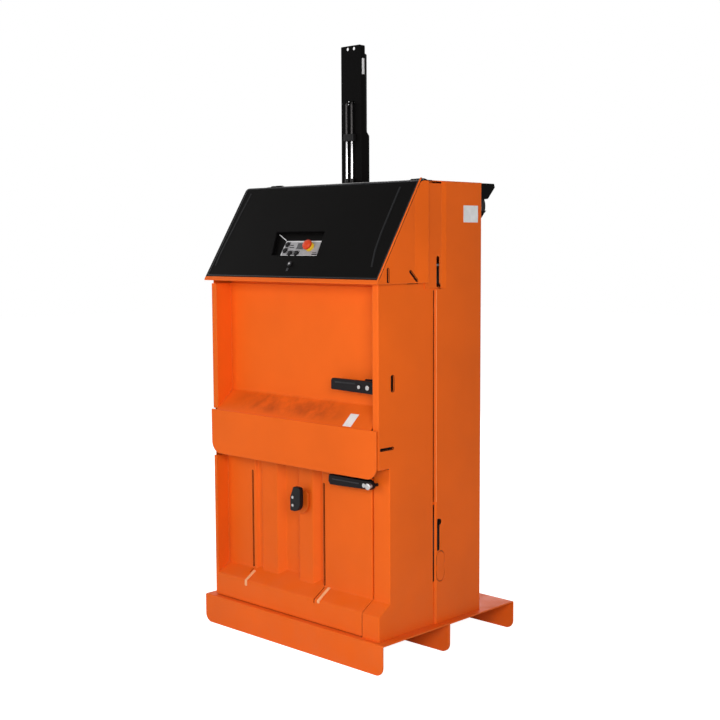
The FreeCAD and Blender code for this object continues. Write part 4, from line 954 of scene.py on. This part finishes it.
class BALER_OT_fasteners(bpy.types.Operator):
    """Pan-head screws that hold the rear shell, and bolts of the power pack's shelf"""
    bl_idname = "baler.fasteners"
    bl_label = "Add the screws"

    def execute(self, context):
        shell_screws(context.scene.baler_trim.screw)
        bracket_bolts()
        return {"FINISHED"}


# ---- control box
def control_box_lid(front, foot):
    """Lid with a pressed groove, on the control box's front."""
    half, thick, high = 0.146, 0.005, 0.152
    lid = block("control_box_lid", (-half, front - thick, foot), (half, front, foot + high))
    faces(lid, "-y")
    for border, rise in ((0.006, 0), (0.002, -0.0015), (0.002, 0.0015)):
        inset(border, rise)
    settle(soften(lid, 0.0014), "motor", "frame")


def control_box_locks(front):
    lock = drum("control_box_locks", (0.130, front - 0.007, 1.540), radius=0.0075, length=0.004,
                axis=(0, 1, 0), sides=32)
    step_in(lock, "-y", border=0.0022)
    pull(y=0.0015)
    settle(copies(soften(lock, 0.0006, 2), ((0, 0, 0.080),)), "zinc", "frame")


def control_box_glands(bottom):
    """Cable glands in a row under the control box."""
    first, height = -0.110, 0.014
    gland = drum("control_box_glands", (first, -0.135, bottom - height / 2), radius=0.0110,
                 length=height, sides=6)
    step_in(gland, "-z", border=0.0030, rise=0.0030)
    pull(z=-0.004)
    soften(gland, 0.0008, 2)
    settle(copies(gland, [(x - first, 0, 0) for x in (-0.070, -0.030, 0.070, 0.110)]), "button",
           "frame")


class BALER_OT_control_box(bpy.types.Operator):
    """Lid with its two locks and the cable glands of the control box behind the hood"""
    bl_idname = "baler.control_box"
    bl_label = "Detail the control box"

    def execute(self, context):
        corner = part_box("electric_box")[0]
        control_box_lid(corner.y, corner.z + 0.004)
        control_box_locks(corner.y)
        control_box_glands(corner.z)
        return {"FINISHED"}


# ---- slots and seam
# Slots of the right side and of the hood's right end: node that has it, Y, Z, height, width and
# tilt of the opening, then the dark sheet of painted shade behind it: how far in, its width and its
# height.
SIDE_SLOTS = (
    ("side_panel_right", -0.290, 1.0545, 0.059, 0.014, 0, 0.0055, 0.030, 0.075),
    ("side_panel_right", -0.321, 0.819, 0.007, 0.069, 0, 0.0055, 0.076, 0.022),
    ("hood_housing", -0.332, 1.4440, 0.050, 0.008, 0, 0.0045, 0.020, 0.062),
    ("hood_housing", -0.195, 1.4390, 0.055, 0.008, 46.7, 0.0045, 0.058, 0.056),
)
SLOT_ROUND = 0.98           # how far a slot's ends are round, where 1 is a half circle
SEAM_Z = (0.586, 1.383)     # the seam's foot and top
STRAP_SLOT_X = (-0.291, 0.1195)


def slot_shade_edging(wide):
    """Thin black edging round each slot, all one piece: painted shade that makes the dark slots look
    wider.
    """
    rings = []
    for owner, y, z, high, broad, tilt, *_ in SIDE_SLOTS:
        ring = flat_ring("slot_shade_edging", size=(high + 2 * wide, broad + 2 * wide), border=wide,
                         thick=0.0010, corner=(min(high, broad) / 2 + wide) * SLOT_ROUND)
        soften(ring, 0.0003, 2)
        place(ring, turn=(0, 90, 0))
        rings.append(place(ring, turn=(tilt, 0, 0), spot=(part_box(owner)[1].x, y, z)))
    settle(join(rings), "black", "frame")


def slot_shade_sheets():
    """Dark sheet behind each slot: painted shade where the inside behind the slot is in shadow."""
    half = 0.001
    sheets = []
    for owner, y, z, *_, behind, wide, high in SIDE_SLOTS:
        centre = Vector((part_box(owner)[1].x - behind, y, z))
        reach = Vector((half, wide / 2, high / 2))
        sheet = block("slot_shade_sheets", centre - reach, centre + reach)
        step_in(sheet, "+x", border=0.002, rise=-0.0004)
        sheets.append(soften(sheet, 0.0005, 2))
    settle(join(sheets), "black", "frame")


def strap_slot_shade_rings():
    """Dark ring round each strap slot of the bale door: painted shade that makes the slots look
    wider.
    """
    face, middle_z, thick = -0.3060, 0.449, 0.0007
    guides = []
    for x in STRAP_SLOT_X:
        guide = flat_ring("strap_slot_shade_rings", size=(0.398, 0.0082), border=0.0014, thick=thick,
                          corner=0.0040)
        soften(guide, thick * 0.3, 2)
        place(guide, turn=(0, -90, 0))
        guides.append(place(guide, turn=(0, 0, 90), spot=(x, face, middle_z)))
    whole = join(guides)
    if max(v.co.y for v in whole.data.vertices) > face + thick / 2:
        raise RuntimeError("the strap slots' guides face the wrong way")
    settle(whole, "black", "lower_door")


def seam_strip(name, near, far, border, rise):
    """Strip up the seam between side panel and rear shell, from one X and Y to another."""
    strip = block(name, (*near, SEAM_Z[0]), (*far, SEAM_Z[1]))
    step_in(strip, "+x", border, rise)
    return strip


class BALER_OT_slot_edgings(bpy.types.Operator):
    """Black edgings and backings of the slots and the strap slots' guides, all painted shade, and the
    side's seam with its strip of painted shade and its lip with a painted highlight
    """
    bl_idname = "baler.slot_edgings"
    bl_label = "Edge the slots"

    def execute(self, context):
        slot_shade_edging(context.scene.baler_trim.edging)
        slot_shade_sheets()
        strap_slot_shade_rings()
        # A black strip in the seam: painted shade where the gap between side panel and rear shell is
        # dark.
        shade_strip = seam_strip("seam_shade_strip", (0.4570, -0.0660), (0.4594, -0.0608), 0.0012, 0.0004)
        settle(soften(shade_strip, 0.0005, 2), "black", "frame")
        # The lip is painted a lighter orange: a painted highlight along the seam.
        lip = seam_strip("seam_lip", (0.4672, -0.0575), (0.4690, -0.0545), 0.0008, 0.0005)
        settle(soften(lip, 0.0006), "lip", "frame")
        return {"FINISHED"}


# ---- levers
# Pressed bead of each lever, in a lighter black that is a painted highlight: the body that carries
# it, and two corners.
LEVER_BEADS = {
    "upper_handle_bead": ("upper_lever", (0.212, -0.3364, 1.0440), (0.318, -0.3350, 1.0500)),
    "lower_handle_bead": ("lower_lever", (0.205, -0.3474, 0.6800), (0.345, -0.3460, 0.6850)),
}


def lower_bolt_cap():
    """Large domed cap over the outer bolt of the bale door's lever."""
    cap = drum("lower_bolt_cap", (0.402, -0.3600, 0.6805), radius=0.0125, length=0.0060,
               axis=(0, 1, 0), sides=40)
    step_in(cap, "-y", border=0.0035, rise=0.0012)
    inset(border=0.0040, rise=0.0006)
    settle(soften(cap, 0.0012, 4), "zinc", "lower_lever")


def lever_bead(name, body, low, high):
    bead = block(name, low, high)
    step_in(bead, "-y", border=0.0015, rise=0.0004)
    settle(soften(bead, 0.0007), "bead", body)


class BALER_OT_lever_details(bpy.types.Operator):
    """Cap over the lower lever's outer bolt, and the pressed bead along each lever"""
    bl_idname = "baler.lever_details"
    bl_label = "Detail the levers"

    def execute(self, context):
        lower_bolt_cap()
        for name, bead in LEVER_BEADS.items():
            lever_bead(name, *bead)
        return {"FINISHED"}


# ---- stage
# Each lamp's place, its size and its share of the key light's power.
LAMPS = {
    "Key": ((-1.2, -5.4, 2.4), 2.6, 1.0),
    "Near right": ((2.8, -2.4, 1.8), 1.4, 0.73),
    "Side": ((5.4, -0.6, 2.2), 3.0, 0.12),
    "Low": ((1.6, -5.4, 0.9), 2.0, 0.13),
    "Top": ((0.2, -0.4, 6.0), 4.0, 0.10),
    "Left": ((-5.2, -0.8, 2.6), 3.0, 0.45),
    "Back": ((-2.6, 4.6, 3.2), 3.5, 1.1),
}
AIM = Vector((0, 0, 1.0))       # the point that every lamp faces
FLOOR_SIZE = 40
FLOOR_GLOW = 0.95
WORLD_LIGHT = 0.1


def seen(tree, lit, shown):
    """One shader for the light on the object, another for what the camera and gloss see."""
    path = node(tree, "LightPath")
    mirrored = maths(tree, "MAXIMUM", path.outputs["Is Glossy Ray"],
                     path.outputs["Is Transmission Ray"])
    mix = node(tree, "MixShader")
    link(maths(tree, "MAXIMUM", path.outputs["Is Camera Ray"], mirrored), mix.inputs[0])
    link(lit, mix.inputs[1])
    link(shown, mix.inputs[2])
    return mix.outputs[0]


def stage_camera(scene, stage):
    """Camera turned by heading, pitch and roll at the photograph's place."""
    yaw, tilt, roll = (math.radians(angle) for angle in (stage.turn, stage.tilt, stage.roll))
    ahead = Vector((math.sin(yaw) * math.cos(tilt), math.cos(yaw) * math.cos(tilt), math.sin(tilt)))
    right = Vector((math.cos(yaw), -math.sin(yaw), 0))
    up = right.cross(ahead)
    across = right * math.cos(roll) + up * math.sin(roll)
    above = up * math.cos(roll) - right * math.sin(roll)
    data = bpy.data.cameras.new("Camera")
    data.sensor_fit, data.sensor_width, data.lens = "HORIZONTAL", 36.0, stage.lens
    data.clip_end = 60
    camera = bpy.data.objects.new("Camera", data)
    scene.collection.objects.link(camera)
    turned = Matrix((across, above, -ahead)).transposed().to_4x4()
    camera.matrix_world = Matrix.Translation(Vector(stage.place)) @ turned
    scene.camera = camera


def stage_floor():
    """Pale floor that keeps the object's shadow and glows only for the camera."""
    alone()
    bpy.ops.mesh.primitive_plane_add(size=FLOOR_SIZE, location=(0, 0, 0))
    floor = bpy.context.object
    floor.name = "Floor"
    mat, tree, shader = material("Pale floor")
    shader.inputs["Base Color"].default_value = (0.8, 0.8, 0.8, 1)
    shader.inputs["Roughness"].default_value = 1.0
    shader.inputs["Specular IOR Level"].default_value = 0.0
    glow = node(tree, "Emission", Color=(1, 1, 1, 1), Strength=FLOOR_GLOW)
    both = node(tree, "AddShader")
    link(shader.outputs[0], both.inputs[0])
    link(glow.outputs[0], both.inputs[1])
    link(seen(tree, shader.outputs[0], both.outputs[0]),
         tree.nodes["Material Output"].inputs["Surface"])
    floor.data.materials.append(mat)


def stage_lamps(scene, power):
    for name, (spot, size, share) in LAMPS.items():
        lamp = bpy.data.lights.new(name, "AREA")
        lamp.shape, lamp.size, lamp.energy = "SQUARE", size, power * share
        thing = bpy.data.objects.new(name, lamp)
        scene.collection.objects.link(thing)
        turned = (AIM - Vector(spot)).to_track_quat("-Z", "Y").to_matrix().to_4x4()
        thing.matrix_world = Matrix.Translation(Vector(spot)) @ turned


def stage_world(scene):
    """Faint even light, and white where the camera looks past the floor."""
    world = bpy.data.worlds.new("Studio")
    world.use_nodes = True
    tree = world.node_tree
    light = tree.nodes["Background"]
    light.inputs["Color"].default_value = (1, 1, 1, 1)
    light.inputs["Strength"].default_value = WORLD_LIGHT
    white = node(tree, "Background", Color=(1, 1, 1, 1), Strength=1.0)
    link(seen(tree, light.outputs[0], white.outputs[0]),
         tree.nodes["World Output"].inputs["Surface"])
    scene.world = world


class BALER_OT_stage(bpy.types.Operator):
    """Camera at the photograph's place, a pale floor and soft studio lights"""
    bl_idname = "baler.stage"
    bl_label = "Set the stage"

    def execute(self, context):
        scene = context.scene
        stage_camera(scene, scene.baler_stage)
        stage_floor()
        stage_lamps(scene, scene.baler_stage.power)
        stage_world(scene)
        scene.view_settings.view_transform = "Standard"
        return {"FINISHED"}


class BALER_PT_panel(bpy.types.Panel):
    bl_label = "Recycling baler"
    bl_idname = "BALER_PT_panel"
    bl_space_type = "VIEW_3D"
    bl_region_type = "UI"
    bl_category = "Baler"

    def draw(self, context):
        scene, layout = context.scene, self.layout
        for settings in (scene.baler_paint, scene.baler_trim, scene.baler_stage):
            box = layout.box()
            for name in settings.__annotations__:
                box.prop(settings, name)
        for step in STEPS:
            layout.operator(step.bl_idname)


SETTINGS = (BalerPaint, BalerTrim, BalerStage)
STEPS = (BALER_OT_finishes, BALER_OT_hood_trim, BALER_OT_controls, BALER_OT_power_pack,
         BALER_OT_fasteners, BALER_OT_slot_edgings, BALER_OT_lever_details,
         BALER_OT_control_box, BALER_OT_stage)


def register():
    for thing in SETTINGS + STEPS + (BALER_PT_panel,):
        bpy.utils.register_class(thing)
    bpy.types.Scene.baler_paint = bpy.props.PointerProperty(type=BalerPaint)
    bpy.types.Scene.baler_trim = bpy.props.PointerProperty(type=BalerTrim)
    bpy.types.Scene.baler_stage = bpy.props.PointerProperty(type=BalerStage)


def unregister():
    del bpy.types.Scene.baler_stage
    del bpy.types.Scene.baler_trim
    del bpy.types.Scene.baler_paint
    for thing in reversed(SETTINGS + STEPS + (BALER_PT_panel,)):
        bpy.utils.unregister_class(thing)


def main():
    register()
    for step in STEPS:
        family, name = step.bl_idname.split(".")
        getattr(getattr(bpy.ops, family), name)()


if __name__ == "__main__":
    main()
